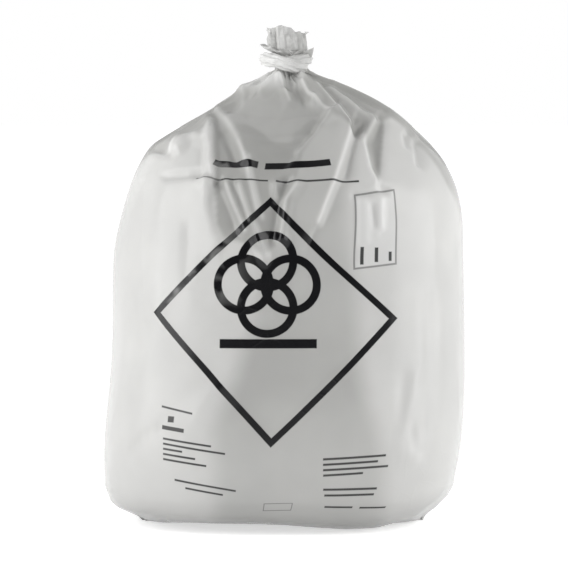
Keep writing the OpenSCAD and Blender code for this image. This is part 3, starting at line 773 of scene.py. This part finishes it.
def gathered_rope(name, seed, foot, length, radius, swell, rows, columns, pleats, depth, twist):
    """A rope of gathered film above the foot: its pleats twist as they run up."""
    rng = np.random.default_rng(seed)
    turn = np.linspace(0, 2 * math.pi, columns, endpoint=False)
    z = np.linspace(0, length, rows)
    phase = rng.uniform(0, 2 * math.pi, 3)
    spin = turn[None, :] + twist * z[:, None] / length
    wave = np.abs(np.cos(0.5 * pleats * spin + phase[0])) + 0.4 * np.cos((pleats + 3) * spin + phase[1])
    r = (radius + swell * np.sin(math.pi * (z / length)))[:, None] * (1 + depth * (wave - 0.6))
    grid = np.zeros((rows, columns, 3))
    grid[:, :, 0], grid[:, :, 1] = r * np.cos(turn) + KNOT_X, r * np.sin(turn)
    grid[:, :, 2] = z[:, None] + foot
    return capped_tube(name, grid)


class Nodes:
    """Short calls that build a node tree."""

    def __init__(self, tree):
        self.tree = tree

    def plug(self, value, socket):
        if isinstance(value, bpy.types.NodeSocket):
            self.tree.links.new(value, socket)
        else:
            socket.default_value = value

    def add(self, kind, inputs=(), **settings):
        """A new node. Its inputs go by name or place, and are values or the outputs of other nodes."""
        made = self.tree.nodes.new(kind)
        for name, value in settings.items():
            setattr(made, name, value)
        for key, value in dict(inputs).items():
            self.plug(value, made.inputs[key])
        return made

    def maths(self, operation, *values):
        return self.add("ShaderNodeMath", enumerate(values), operation=operation).outputs[0]

    def vector(self, operation, inputs):
        return self.add("ShaderNodeVectorMath", inputs, operation=operation).outputs[0]

    def between(self, value, low, high, to_low=0.0, to_high=1.0):
        """A smooth change from to_low to to_high as the value goes from low to high."""
        inputs = enumerate((value, low, high, to_low, to_high))
        return self.add("ShaderNodeMapRange", inputs, interpolation_type="SMOOTHSTEP").outputs[0]

    def parts(self, vector):
        return list(self.add("ShaderNodeSeparateXYZ", {0: vector}).outputs)

    def joined(self, *values):
        return self.add("ShaderNodeCombineXYZ", enumerate(values)).outputs[0]

    def ray_share(self, *kinds):
        """1 for rays of any of these kinds, 0 for the others."""
        rays = self.add("ShaderNodeLightPath").outputs
        share = rays[kinds[0]]
        for kind in kinds[1:]:
            share = self.maths("MAXIMUM", share, rays[kind])
        return share


class PieceNodes(Nodes):
    """A geometry node tree that makes one piece from named sizes."""

    def __init__(self, name, sizes):
        super().__init__(bpy.data.node_groups.new(name, "GeometryNodeTree"))
        self.name, self.sizes, self.keys = name, sizes, {}
        sockets = self.tree.interface
        sockets.new_socket("Geometry", in_out="OUTPUT", socket_type="NodeSocketGeometry")
        for size, value in sizes.items():
            made = sockets.new_socket(size, in_out="INPUT", socket_type="NodeSocketFloat")
            made.default_value = value
            self.keys[size] = made.identifier
        self.given = self.add("NodeGroupInput").outputs

    def curve(self, value, places):
        """A float curve that runs through the given places."""
        made = self.add("ShaderNodeFloatCurve", {"Value": value})
        points = made.mapping.curves[0].points
        points[0].location = places[0]
        points[1].location = places[-1]
        for place in places[1:-1]:
            points.new(*place)
        made.mapping.update()
        return made.outputs[0]

    def crumple(self, geometry, scale, size):
        """Moves every point by soft noise of the given scale and size."""
        place = self.add("GeometryNodeInputPosition").outputs[0]
        noise = self.add("ShaderNodeTexNoise", {"Vector": place, "Scale": scale, "Detail": 2})
        centred = self.vector("SUBTRACT", {0: noise.outputs["Color"], 1: (0.5, 0.5, 0.5)})
        move = self.vector("SCALE", {0: centred, "Scale": size})
        return self.add("GeometryNodeSetPosition", {"Geometry": geometry, "Offset": move}).outputs[0]

    def finish(self, geometry, material):
        """Ends the tree, runs it on an empty mesh and keeps the result as a plain mesh object."""
        whole = self.add("GeometryNodeRealizeInstances", {0: geometry}).outputs[0]
        dressed = self.add("GeometryNodeSetMaterial", {"Geometry": whole, "Material": material}).outputs[0]
        self.add("NodeGroupOutput", {0: dressed})
        holder = bpy.data.objects.new(self.name + "_holder", bpy.data.meshes.new(self.name + "_holder"))
        bpy.context.scene.collection.objects.link(holder)
        modifier = holder.modifiers.new("nodes", "NODES")
        modifier.node_group = self.tree
        for size, key in self.keys.items():
            modifier[key] = self.sizes[size]
        graph = bpy.context.evaluated_depsgraph_get()
        mesh = bpy.data.meshes.new_from_object(holder.evaluated_get(graph), depsgraph=graph)
        bpy.data.objects.remove(holder)
        mesh.name = self.name
        obj = bpy.data.objects.new(self.name, mesh)
        bpy.context.scene.collection.objects.link(obj)
        return obj


def knot_wrap(material):
    """The wrap of the knot: a pleated rope of film that crosses over itself in front."""
    nodes = PieceNodes("knot_wrap_film", WRAP_SIZES)
    given = nodes.given
    ring = nodes.add("GeometryNodeCurveSpiral", {"Resolution": WRAP_PARTS, "Rotations": given["Turns"],
                                                 "Start Radius": 1, "End Radius": 1, "Height": 0,
                                                 "Reverse": True})
    along = nodes.add("GeometryNodeSplineParameter").outputs["Factor"]
    far, tall, thick = [nodes.curve(along, places) for places in (WRAP_REACH, WRAP_HEIGHT, WRAP_THICK)]
    place = nodes.add("GeometryNodeInputPosition").outputs[0]
    spread = nodes.vector("SCALE", {0: place, "Scale": nodes.maths("MULTIPLY", far, given["Reach"])})
    rise = nodes.maths("MULTIPLY", nodes.maths("SUBTRACT", tall, 0.5), given["Height"])
    path = nodes.add("GeometryNodeSetPosition", {"Geometry": ring.outputs["Curve"], "Position": spread,
                                                 "Offset": nodes.joined(0, 0, rise)})
    tilted = nodes.add("GeometryNodeSetCurveTilt", {"Curve": path.outputs[0],
                                                    "Tilt": nodes.maths("MULTIPLY", along, given["Twist"])})
    inner = nodes.maths("MULTIPLY", given["Rope radius"], given["Pleat depth"])
    star = nodes.add("GeometryNodeCurveStar", {"Points": WRAP_PLEATS, "Inner Radius": inner,
                                               "Outer Radius": given["Rope radius"]})
    rope = nodes.add("GeometryNodeCurveToMesh", {"Curve": tilted.outputs["Curve"], "Scale": thick,
                                                 "Profile Curve": star.outputs["Curve"], "Fill Caps": True})
    finer = nodes.add("GeometryNodeSubdivisionSurface", {"Mesh": rope.outputs[0], "Level": WRAP_LEVEL})
    crumpled = nodes.crumple(finer.outputs[0], CRUMPLE_SCALE, given["Crumple"])
    crumpled = nodes.crumple(crumpled, FINE_CRUMPLE_SCALE, given["Fine crumple"])
    obj = nodes.finish(nodes.add("GeometryNodeSetShadeSmooth", {0: crumpled}).outputs[0], material)
    points = np.zeros(len(obj.data.vertices) * 3)
    obj.data.vertices.foreach_get("co", points)
    points = points.reshape(-1, 3) / MM
    x = points[:, 0] * math.cos(WRAP_START) - points[:, 1] * math.sin(WRAP_START)
    y = points[:, 0] * math.sin(WRAP_START) + points[:, 1] * math.cos(WRAP_START)
    places = np.stack([KNOT_X + WRAP_SHIFT + x * WRAP_WIDEN, y, points[:, 2] + WRAP_Z], axis=1)
    obj.data.vertices.foreach_set("co", (places * MM).reshape(-1))
    obj.data.update()
    return obj


def settled_mouth(grid, t, rng, dent, slack, slack_up, slack_change):
    """Film of the mouth, from its foot at t 0 to its rim at t 1, with soft dents and folds."""
    shape = grid.shape[:2]
    dents = soft_noise(shape, MOUTH_DENT_ROUNDS, rng) * dent * ramp(t, *MOUTH_DENT_START)
    grid = grid + grid_normals(grid) * dents[:, :, None]
    free = np.ones(shape)
    free[:MOUTH_HELD_ROWS] = 0
    looser = ramp(t, *slack_change) + np.zeros(shape)
    return relax(grid, grid_normals(grid), free, 1 + slack * looser, 1 + slack_up * looser, -MOUTH_LIMIT,
                 MOUTH_LIMIT, MOUTH_STEPS, MOUTH_BEND, MOUTH_LAST_BEND)


def standing_mouth(rng):
    """The part of the mouth that stands up: a flattened, pleated tube with an open, uneven rim."""
    rows, columns = STAND_GRID
    turn = np.linspace(0, 2 * math.pi, columns, endpoint=False)
    t = np.linspace(0, 1, rows)[:, None]
    c, s = np.cos(turn), np.sin(turn)
    wave = 2 / math.pi * np.arcsin(np.sin(STAND_PLEATS * turn + STAND_PLEAT_DRIFT * t + rng.uniform(0, 6)))
    left_share = PLEAT_LEAST + PLEAT_MORE * ramp(-c, *PLEAT_SIDE)
    pleat = wave * STAND_PLEAT_DEPTH * left_share * (1 - PLEAT_ENDS * c ** 6)
    spread = STAND_FOOT_SHARE + (1 - STAND_FOOT_SHARE) * ramp(t, *STAND_OPENS)
    x = spread * (STAND_HALF[0] * np.sign(c) * np.abs(c) ** STAND_POWER + pleat * c)
    x = x + STAND_LEAN * ramp(c, *LEAN_SIDE) * (1 - t) * spread
    y = spread * (STAND_HALF[1] * np.sign(s) * np.abs(s) ** STAND_POWER + pleat * s)
    rim = STAND_RIM - RIM_FALL_RIGHT * ramp(x[-1], *RIM_RIGHT) - RIM_FALL_LEFT * ramp(-x[-1], *RIM_LEFT)
    notch = NOTCH_DEPTH * (1 - ramp(np.abs(x[-1] - NOTCH_PLACE), *NOTCH_EDGE)) * (s < 0)
    rim = rim - notch + RIM_WAVE_HEIGHT * np.cos(RIM_WAVES * turn)
    grid = np.stack([x, y, STAND_FOOT + (rim - STAND_FOOT) * t], axis=2)
    return settled_mouth(grid, t, rng, dent=0.9, slack=0.05, slack_up=0.02, slack_change=(0.1, 0.6))


def spread_mouth(rng):
    """The part of the mouth that lies over the knot: a low ruffle with a broad flap and a pointed ear."""
    rows, columns = SPREAD_GRID
    turn = np.linspace(0, 2 * math.pi, columns, endpoint=False)
    t = np.linspace(0, 1, rows)[:, None]
    flap = np.exp(-(np.angle(np.exp(1j * (turn - FLAP_WAY))) / FLAP_WIDTH) ** 2)
    ear = np.clip(1 - np.abs(np.angle(np.exp(1j * (turn - EAR_WAY)))) / EAR_WIDTH, 0, 1)
    ruffle = np.cos(RUFFLES * turn + rng.uniform(0, 6))
    ruffle = ruffle + FINE_RUFFLE * np.cos(FINE_RUFFLES * turn + RUFFLE_DRIFT * t + rng.uniform(0, 6))
    reach = SPREAD_REACH + FLAP_REACH * flap + EAR_REACH * ear + RUFFLE_REACH * ruffle
    way_out = np.sin(0.5 * math.pi * t) ** (SPREAD_ROUND - EAR_STRAIGHT * ear)
    r = SPREAD_START + (reach - SPREAD_START) * way_out
    rim = SPREAD_RIM + FLAP_RISE * flap + EAR_RISE * ear + RUFFLE_RISE * ruffle
    foot = SPREAD_FOOT - EAR_DROP * ear
    z = foot + (rim - SPREAD_FOOT + EAR_DROP * ear) * t ** (SPREAD_CURL + EAR_CURL * ear)
    grid = np.stack([r * np.cos(turn), SPREAD_DEPTH * r * np.sin(turn), z], axis=2)
    return settled_mouth(grid, t, rng, dent=0.8, slack=0.08, slack_up=0.03, slack_change=(0.2, 0.8))


def mouth_tuft():
    """The mouth of the bag above the knot: one part stands up and one part lies out over the knot."""
    rng = np.random.default_rng(TUFT_SEED)
    vertices, faces = [], []
    for layer, shift in ((standing_mouth(rng), STAND_SHIFT), (spread_mouth(rng), 0.0)):
        faces += tube_faces(*layer.shape[:2], len(vertices))
        layer = layer + [KNOT_X + shift, 0, 0]
        vertices += layer.reshape(-1, 3).tolist()
    return new_object("mouth_tuft_film", vertices, faces)


def corner_ears():
    """The two corners of the flat tube, thin double film that stands out from the ends of the weld."""
    vertices, faces = [], []
    rows, columns = EARS_GRID
    for side, edge in ((-1, LEFT_EDGE), (1, RIGHT_EDGE)):
        for face in (-1, 1):
            first = len(vertices)
            for i in range(rows):
                z = EARS_FOOT + EARS_HEIGHT * (i / (rows - 1)) ** EARS_CURVE
                root = float(smooth_line(edge, np.array([z]))[0]) - side * EARS_ROOT
                reach = EARS_REACH * (1 - i / (rows - 1)) ** EARS_TAPER + EARS_TIP
                for k in range(columns):
                    s = k / (columns - 1)
                    wave = math.sin(EARS_WAVE_TURN * s + i * EARS_WAVE_STEP + side)
                    y = face * EARS_GAP * (1 - s) + EARS_WAVE * wave * s
                    vertices.append((root + side * reach * s, y, z + EARS_BULGE * s * (1 - s)))
            for i in range(rows - 1):
                for k in range(columns - 1):
                    a = first + i * columns + k
                    quad = [a, a + 1, a + columns + 1, a + columns]
                    faces.append(quad if face * side < 0 else quad[::-1])
    obj = new_object("corner_ears_film", vertices, faces)
    tidy_mesh(obj, EARS_JOIN)
    return obj


def tidy_mesh(obj, join_mm):
    """Joins doubled vertices and turns the faces outwards."""
    work = bmesh.new()
    work.from_mesh(obj.data)
    bmesh.ops.remove_doubles(work, verts=work.verts, dist=join_mm * MM)
    bmesh.ops.recalc_face_normals(work, faces=work.faces)
    work.to_mesh(obj.data)
    work.free()
    obj.data.shade_smooth()


def weld_strip(material):
    """The weld: a thin strip of film with pressed ribs along it, where the frame has the weld."""
    nodes = PieceNodes("weld_strip_film", WELD_SIZES)
    given = nodes.given
    strip_size = nodes.joined(given["Length"], given["Width"], given["Thickness"])
    strip = nodes.add("GeometryNodeMeshCube", {"Size": strip_size, "Vertices X": WELD_PARTS})
    rib_size = nodes.joined(given["Length"], given["Rib width"], given["Rib height"])
    rib = nodes.add("GeometryNodeMeshCube", {"Size": rib_size})
    first, pitch = nodes.joined(*FIRST_RIB), nodes.joined(0, given["Rib pitch"], 0)
    row = nodes.add("GeometryNodeMeshLine", {"Count": RIB_COUNT, "Start Location": first, "Offset": pitch},
                    mode="OFFSET")
    ribs = nodes.add("GeometryNodeInstanceOnPoints", {"Points": row.outputs[0], "Instance": rib.outputs[0]})
    both = nodes.add("GeometryNodeJoinGeometry")
    for part in (strip, ribs):
        nodes.plug(part.outputs[0], both.inputs[0])
    obj = nodes.finish(both.outputs[0], material)
    low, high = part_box("bottom_weld")
    middle = [(low[i] + high[i]) / 2 for i in range(3)]
    for vertex in obj.data.vertices:
        vertex.co += Vector(middle)
    obj.data.update()
    return obj


class Paint(Nodes):
    """A node material under construction."""

    def __init__(self, name):
        self.material = bpy.data.materials.new(name)
        self.material.use_nodes = True
        super().__init__(self.material.node_tree)
        self.shader = self.tree.nodes["Principled BSDF"]

    def noise(self, vector, scale, detail=3.0, rough=0.5, distortion=0.0):
        inputs = {"Vector": vector, "Scale": scale, "Detail": detail, "Roughness": rough,
                  "Distortion": distortion}
        return self.add("ShaderNodeTexNoise", inputs).outputs["Fac"]

    def mix(self, share, a, b):
        return self.add("ShaderNodeMix", {"Factor": share, 6: a, 7: b}, data_type="RGBA").outputs[2]

    def bump(self, height, strength, distance, onto=None):
        inputs = {"Strength": strength, "Distance": distance, "Height": height}
        if onto is not None:
            inputs["Normal"] = onto
        return self.add("ShaderNodeBump", inputs).outputs[0]

    def attribute(self, name):
        return self.add("ShaderNodeAttribute", attribute_name=name).outputs["Fac"]

    def object_place(self):
        return self.add("ShaderNodeTexCoord").outputs["Object"]

    def set(self, **values):
        for name, value in values.items():
            self.plug(value, self.shader.inputs[name.replace("_", " ")])


class FlatPrint:
    """Draws on the flat film. A shape is the distance to its edge in metres, below 0 inside."""

    def __init__(self, paint, points, flat_u, flat_v):
        self.paint, self.maths = paint, paint.maths
        self.film = points, grid_normals(points), flat_u, flat_v
        self.flat = paint.add("ShaderNodeUVMap", uv_map="flat_film").outputs[0]
        self.u, self.v = paint.parts(self.flat)[:2]

    def at(self, pixel):
        return [c * MM for c in flat_place(pixel, *self.film)]

    def bar(self, start, end, thick):
        """A bar between two pixels, with its thickness in pixels too."""
        (u0, v0), (u1, v1) = self.at(start), self.at(end)
        across = self.maths("SUBTRACT", self.u, (u0 + u1) / 2)
        up = self.maths("SUBTRACT", self.v, (v0 + v1) / 2)
        up = self.maths("MULTIPLY_ADD", across, (v0 - v1) / (u1 - u0), up)
        far_u = self.maths("SUBTRACT", self.maths("ABSOLUTE", across), (u1 - u0) / 2)
        far_v = self.maths("SUBTRACT", self.maths("ABSOLUTE", up), thick * PIXEL_MM * MM / 2)
        return self.maths("MAXIMUM", far_u, far_v)

    def outline(self, distance, half_line):
        return self.maths("SUBTRACT", self.maths("ABSOLUTE", distance), half_line)

    def ring(self, middle_u, middle_v):
        across = self.maths("SUBTRACT", self.u, middle_u)
        up = self.maths("SUBTRACT", self.v, middle_v)
        square = self.maths("MULTIPLY_ADD", up, up, self.maths("MULTIPLY", across, across))
        return self.outline(self.maths("SUBTRACT", self.maths("SQRT", square), RING_RADIUS), RING_LINE)

    def square(self):
        """The frame on its point."""
        corners = [self.at(pixel) for pixel in SQUARE_CORNERS]
        sides = []
        for (ua, va), (ub, vb) in zip(corners, corners[1:] + corners[:1]):
            size = math.hypot(ub - ua, vb - va)
            nu, nv = (va - vb) / size, (ub - ua) / size
            along = self.maths("MULTIPLY_ADD", self.u, nu, -(ua * nu + va * nv))
            sides.append(self.maths("MULTIPLY_ADD", self.v, nv, along))
        return self.outline(self.every("MAXIMUM", sides), SQUARE_LINE)

    def rings(self):
        """Four rings that cross round one middle."""
        u, v = self.at(RINGS_MIDDLE)
        ways = ((1, 0), (-1, 0), (0, 1), (0, -1))
        return [self.ring(u + a * RING_OFFSET, v + b * RING_OFFSET) for a, b in ways]

    def fine_bars(self):
        """The thin bars, by themselves and in blocks of rows."""
        bars = [self.bar(*bar) for bar in FINE_BARS]
        for (x, y), step, slope, runs, thick in FINE_BLOCKS:
            for row, run in enumerate(runs):
                level = y + step * row
                bars.append(self.bar((x, level), (x + run, level + slope * run), thick))
        return bars

    def every(self, operation, distances):
        whole = distances[0]
        for distance in distances[1:]:
            whole = self.maths(operation, whole, distance)
        return whole

    def inked(self, distances, strength):
        return self.paint.between(self.every("MINIMUM", distances), -INK_EDGE, INK_EDGE, strength, 0.0)

    def wear(self):
        """Where the print is scuffed: in patches, up and to the left of the middle of the square."""
        u, v = self.at(SQUARE_MIDDLE)
        patches = self.paint.between(self.paint.noise(self.flat, scale=26.0, detail=2.0), *WEAR_PATCHES)
        beside = self.paint.between(self.maths("SUBTRACT", u, self.u), *WEAR_SIDE)
        scuffed = self.maths("MULTIPLY", beside, self.paint.between(self.v, v, v + WEAR_UP))
        return self.maths("MULTIPLY", patches, self.maths("MULTIPLY", scuffed, WEAR_MOST))

    def ink(self, panel):
        """How much ink lies on the film, from 0 to 1."""
        bold = [self.square()] + self.rings() + [self.bar(*bar) for bar in BOLD_BARS]
        faint = [self.outline(self.bar(*FOOT_FRAME), FOOT_LINE), self.outline(panel, PANEL_LINE)]
        shares = [self.inked(bold, BOLD_INK), self.inked(self.fine_bars(), FINE_INK)]
        whole = self.every("MAXIMUM", shares + [self.inked(faint, FAINT_INK)])
        return self.maths("MULTIPLY", whole, self.maths("SUBTRACT", 1.0, self.wear()))


def film_creases(paint, place):
    """Fine creases of handled film, as a height."""
    wave = paint.add("ShaderNodeTexNoise", {"Vector": place, "Scale": CREASE_WAVES})
    shift = paint.vector("SCALE", {0: wave.outputs["Color"], "Scale": CREASE_WAVE_SIZE})
    warped = paint.vector("ADD", {0: place, 1: shift})
    cells = paint.add("ShaderNodeTexVoronoi", {"Vector": warped, "Scale": CREASE_CELLS},
                      feature="DISTANCE_TO_EDGE")
    crease = paint.between(cells.outputs["Distance"], 0.0, CREASE_WIDTH, 1.0, 0.0)
    patchy = paint.between(paint.noise(place, scale=6.0, detail=2.0), *CREASE_PATCHES)
    return paint.maths("MULTIPLY", crease, patchy)


def film_material(points, flat_u, flat_v):
    """Milky film with a black print: a plain square on its point, a ring motif and bars."""
    paint = Paint("milky_film_printed")
    place = paint.object_place()
    drawn = FlatPrint(paint, points, flat_u, flat_v)
    panel = drawn.bar(*PANEL)
    ink = drawn.ink(panel)
    cloudy = paint.noise(place, scale=5.0, rough=0.55)
    # Painted shade where nothing lies behind the film, painted light where the load does
    clear, milky = [paint.mix(cloudy, *tones) for tones in (FILM_PAINTED_SHADE, FILM_PAINTED_LOAD_LIGHT)]
    tint = paint.mix(paint.attribute("on_load"), clear, milky)
    tint = paint.mix(paint.between(panel, -PANEL_EDGE, 0.0, PANEL_SHARE, 0.0), tint, PANEL_WHITE)
    # Painted highlights on the crease ridges, painted shade in the crease valleys
    crease = paint.attribute("crease")
    ridge_highlight = paint.maths("MAXIMUM", crease, 0.0)
    valley_shade = paint.maths("MAXIMUM", paint.maths("MULTIPLY", crease, -1.0), 0.0)
    tint = paint.mix(paint.maths("MULTIPLY", ridge_highlight, RIDGE_HIGHLIGHT_SHARE), tint, CREASE_PAINTED_HIGHLIGHT)
    tint = paint.mix(paint.maths("MULTIPLY", valley_shade, VALLEY_SHADE_SHARE), tint, CREASE_PAINTED_SHADE)
    x, _, z = paint.parts(place)
    layered = paint.between(z, *LAYERED_HEIGHT, 0.0, LAYERED_SHARE)
    layered = paint.maths("MULTIPLY", layered, paint.between(x, *LAYERED_SIDE, 1.0, 0.0))
    tint = paint.mix(layered, tint, LAYERED_WHITE)
    paint.set(Base_Color=paint.mix(ink, tint, INK_BLACK))
    gathered = paint.between(z, *GATHERED_HEIGHT, 0.0, GATHERED_MILK)
    milk = paint.maths("ADD", paint.between(cloudy, *NOISE_MIDDLE, *FILM_MILK), gathered)
    milk = paint.maths("MULTIPLY_ADD", paint.maths("ADD", ridge_highlight, valley_shade), CREASE_MILK, milk)
    milk = paint.maths("MINIMUM", milk, 1.0)
    waves = paint.bump(paint.noise(place, scale=11.0, distortion=0.6), strength=0.25, distance=0.004)
    paint.set(Alpha=paint.maths("MAXIMUM", milk, ink), IOR=1.5, Specular_IOR_Level=0.3)
    grain = paint.noise(place, scale=9.0, detail=4.0)
    creased = paint.bump(film_creases(paint, place), strength=0.07, distance=0.0012, onto=waves)
    paint.set(Roughness=paint.between(grain, *NOISE_MIDDLE, *FILM_ROUGH), Normal=creased)
    return paint.material


def gathered_material(name, tone, alpha):
    """Film in many layers, as in the knot and the tuft: whiter and hardly see-through."""
    paint = Paint(name)
    place = paint.object_place()
    # Painted light on the left side of the knot and the tuft, painted shade on their right
    left, right = knot_hinge[0] - KNOT_SIDE, knot_hinge[0] + KNOT_SIDE
    side = paint.between(paint.parts(place)[0], left, right, *KNOT_SIDE_LIGHT_AND_SHADE)
    cloudy = paint.maths("ADD", paint.noise(place, scale=38.0, detail=4.0, rough=0.6), side)
    tones = (tone - GATHERED_SPREAD, tone + GATHERED_SPREAD)
    dark, light = [(t, t, t - GATHERED_WARMTH, 1) for t in tones]
    paint.set(Base_Color=paint.mix(cloudy, dark, light), IOR=1.5)
    paint.set(Alpha=paint.between(cloudy, *GATHERED_CLOUDS, alpha - GATHERED_CLEARER, alpha))
    paint.set(Roughness=paint.between(paint.noise(place, scale=60.0), *NOISE_MIDDLE, *GATHERED_ROUGH))
    pleats = paint.noise(place, scale=130.0, rough=0.55, distortion=0.8)
    pleated = paint.bump(pleats, strength=0.35, distance=0.0012)
    paint.set(Normal=paint.bump(film_creases(paint, place), strength=0.3, distance=0.001, onto=pleated))
    return paint.material


def load_material():
    """Soft pale waste: crumpled layers of paper and non-woven cloth."""
    paint = Paint("pale_soft_load")
    place = paint.object_place()
    cells = paint.add("ShaderNodeTexVoronoi", {"Vector": place, "Scale": LOAD_CELLS}, feature="F1")
    shade = paint.between(cells.outputs["Distance"], *LOAD_SHADE)
    mottled = paint.noise(place, scale=30.0, detail=4.0, rough=0.6)
    pale = paint.between(mottled, *LOAD_MOTTLE, 0.0, LOAD_WHITE_SHARE)
    paint.set(Base_Color=paint.mix(pale, paint.mix(shade, LOAD_PALE, LOAD_GREY), LOAD_WHITE))
    paint.set(Roughness=paint.between(mottled, *NOISE_MIDDLE, *LOAD_ROUGH))
    lumps = paint.bump(shade, strength=0.5, distance=0.01)
    fibres = paint.noise(place, scale=260.0)
    paint.set(Normal=paint.bump(fibres, strength=0.25, distance=0.0015, onto=lumps))
    return paint.material


def white_world(side, front):
    """White to the camera, and behind the bag to reflections and clear film too; a plain soft light to the
    rest, weaker from the side of the printed face."""
    world = bpy.data.worlds.new("white_studio")
    bpy.context.scene.world = world
    world.use_nodes = True
    nodes = Nodes(world.node_tree)
    depth = nodes.parts(nodes.add("ShaderNodeTexCoord").outputs["Generated"])[1]
    light = world.node_tree.nodes["Background"]
    nodes.plug(WHITE, light.inputs[0])
    nodes.plug(nodes.between(depth, *LIGHT_CHANGE, front, side), light.inputs[1])
    white = nodes.add("ShaderNodeBackground", {0: WHITE, 1: 1.0})
    through = nodes.ray_share("Is Glossy Ray", "Is Transmission Ray")
    behind = nodes.maths("MULTIPLY", through, nodes.between(depth, *WHITE_CHANGE))
    seen = nodes.maths("MAXIMUM", nodes.ray_share("Is Camera Ray"), behind)
    mix = nodes.add("ShaderNodeMixShader", {0: seen, 1: light.outputs[0], 2: white.outputs[0]})
    nodes.plug(mix.outputs[0], world.node_tree.nodes["World Output"].inputs[0])


def studio_floor():
    """A plain white floor that keeps the soft shadow of the bag."""
    mesh = bpy.data.meshes.new("studio_floor")
    mesh.from_pydata(FLOOR_CORNERS, [], [(0, 1, 2, 3)])
    floor = bpy.data.objects.new("studio_floor", mesh)
    bpy.context.scene.collection.objects.link(floor)
    paint = Paint("white_floor")
    paint.set(Base_Color=FLOOR_GREY, Roughness=0.9, Specular_IOR_Level=0.1)
    seen = paint.ray_share("Is Camera Ray", "Is Glossy Ray", "Is Transmission Ray")
    strength = paint.maths("MULTIPLY", seen, FLOOR_GLOW)
    glow = paint.add("ShaderNodeEmission", {"Color": WHITE, "Strength": strength})
    both = paint.add("ShaderNodeAddShader", {0: paint.shader.outputs[0], 1: glow.outputs[0]})
    paint.plug(both.outputs[0], paint.tree.nodes["Material Output"].inputs[0])
    mesh.materials.append(paint.material)


def soft_lamp(name, place, aim, size, power):
    """A large soft lamp at a place in metres, turned to its aim."""
    data = bpy.data.lights.new(name, "AREA")
    data.shape = "RECTANGLE"
    data.size, data.size_y = size
    data.energy = power
    lamp = bpy.data.objects.new(name, data)
    lamp.location = place
    lamp.rotation_euler = (Vector(place) - Vector(aim)).to_track_quat("Z", "Y").to_euler()
    bpy.context.scene.collection.objects.link(lamp)


def photo_camera():
    """The camera of the photograph's view."""
    data = bpy.data.cameras.new("photo_camera")
    camera = bpy.data.objects.new("photo_camera", data)
    bpy.context.scene.collection.objects.link(camera)
    bpy.context.scene.camera = camera
    middle = IMAGE_SIDE / 2
    aim_x = (middle - PIXEL_MIDDLE) * PIXEL_MM
    aim_z = ((PIXEL_FLOOR - middle) * PIXEL_MM - BASE_DROP) / math.cos(CAMERA_LIFT)
    back = CAMERA_RANGE * math.cos(CAMERA_LIFT)
    camera.location = (aim_x * MM, -back * MM, (aim_z + CAMERA_RANGE * math.sin(CAMERA_LIFT)) * MM)
    camera.rotation_euler = (math.pi / 2 - CAMERA_LIFT, 0, 0)
    data.sensor_width = SENSOR_WIDTH
    data.lens = SENSOR_WIDTH * CAMERA_RANGE / (IMAGE_SIDE * PIXEL_MM)


def dress(piece, material):
    """Gives a piece its material, where it has none yet."""
    if not piece.data.materials:
        piece.data.materials.append(material)


points, flat_u, flat_v = film_grid()
film_finish = film_material(points, flat_u, flat_v)
knot_finish = gathered_material("gathered_film_knot", tone=0.68, alpha=0.98)
# The tuft's tone is lower than the knot's as painted shade, since it faces the front; the weld and ears
# share it
tuft_finish = gathered_material("gathered_film_tuft", tone=0.54, alpha=0.82)
load_finish = load_material()

film = bag_film(points, flat_u, flat_v)
load = load_body()
neck = gathered_rope("neck_rope_film", **NECK_ROPE)
core = gathered_rope("knot_core_film", **KNOT_CORE)
wrap = knot_wrap(knot_finish)
tuft = mouth_tuft()
ears = corner_ears()
weld = weld_strip(tuft_finish)

dress(film, film_finish)
dress(load, load_finish)
for piece in (neck, core, wrap):
    dress(piece, knot_finish)
dress(tuft, tuft_finish)
dress(weld, tuft_finish)
dress(ears, tuft_finish)

for piece, low_body, high_body, hinge, below, above in ((film, "bag", "knot", knot_hinge, 0.019, 0.003),
                                                        (tuft, "knot", "tuft", tuft_hinge, 0.013, 0.0)):
    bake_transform(piece)
for piece in (load, neck, ears, weld):
    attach(piece, "bag")
for piece in (core, wrap):
    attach(piece, "knot")

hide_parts("film_wall")
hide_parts("waste_load")
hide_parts("neck_rope")
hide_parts("knot_core")
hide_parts("knot_wrap")
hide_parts("mouth_tuft")
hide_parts("corner_ears")
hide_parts("bottom_weld")

photo_camera()
white_world(side=0.7, front=0.16)
studio_floor()
soft_lamp("left_softbox", place=(-1.4, -0.85, 0.85), aim=(0, 0, 0.4), size=(1.2, 1.7), power=22)
soft_lamp("right_softbox", place=(1.5, -0.7, 0.6), aim=(0, 0, 0.35), size=(1.2, 1.4), power=18.8)
bpy.context.scene.view_settings.view_transform = "Standard"
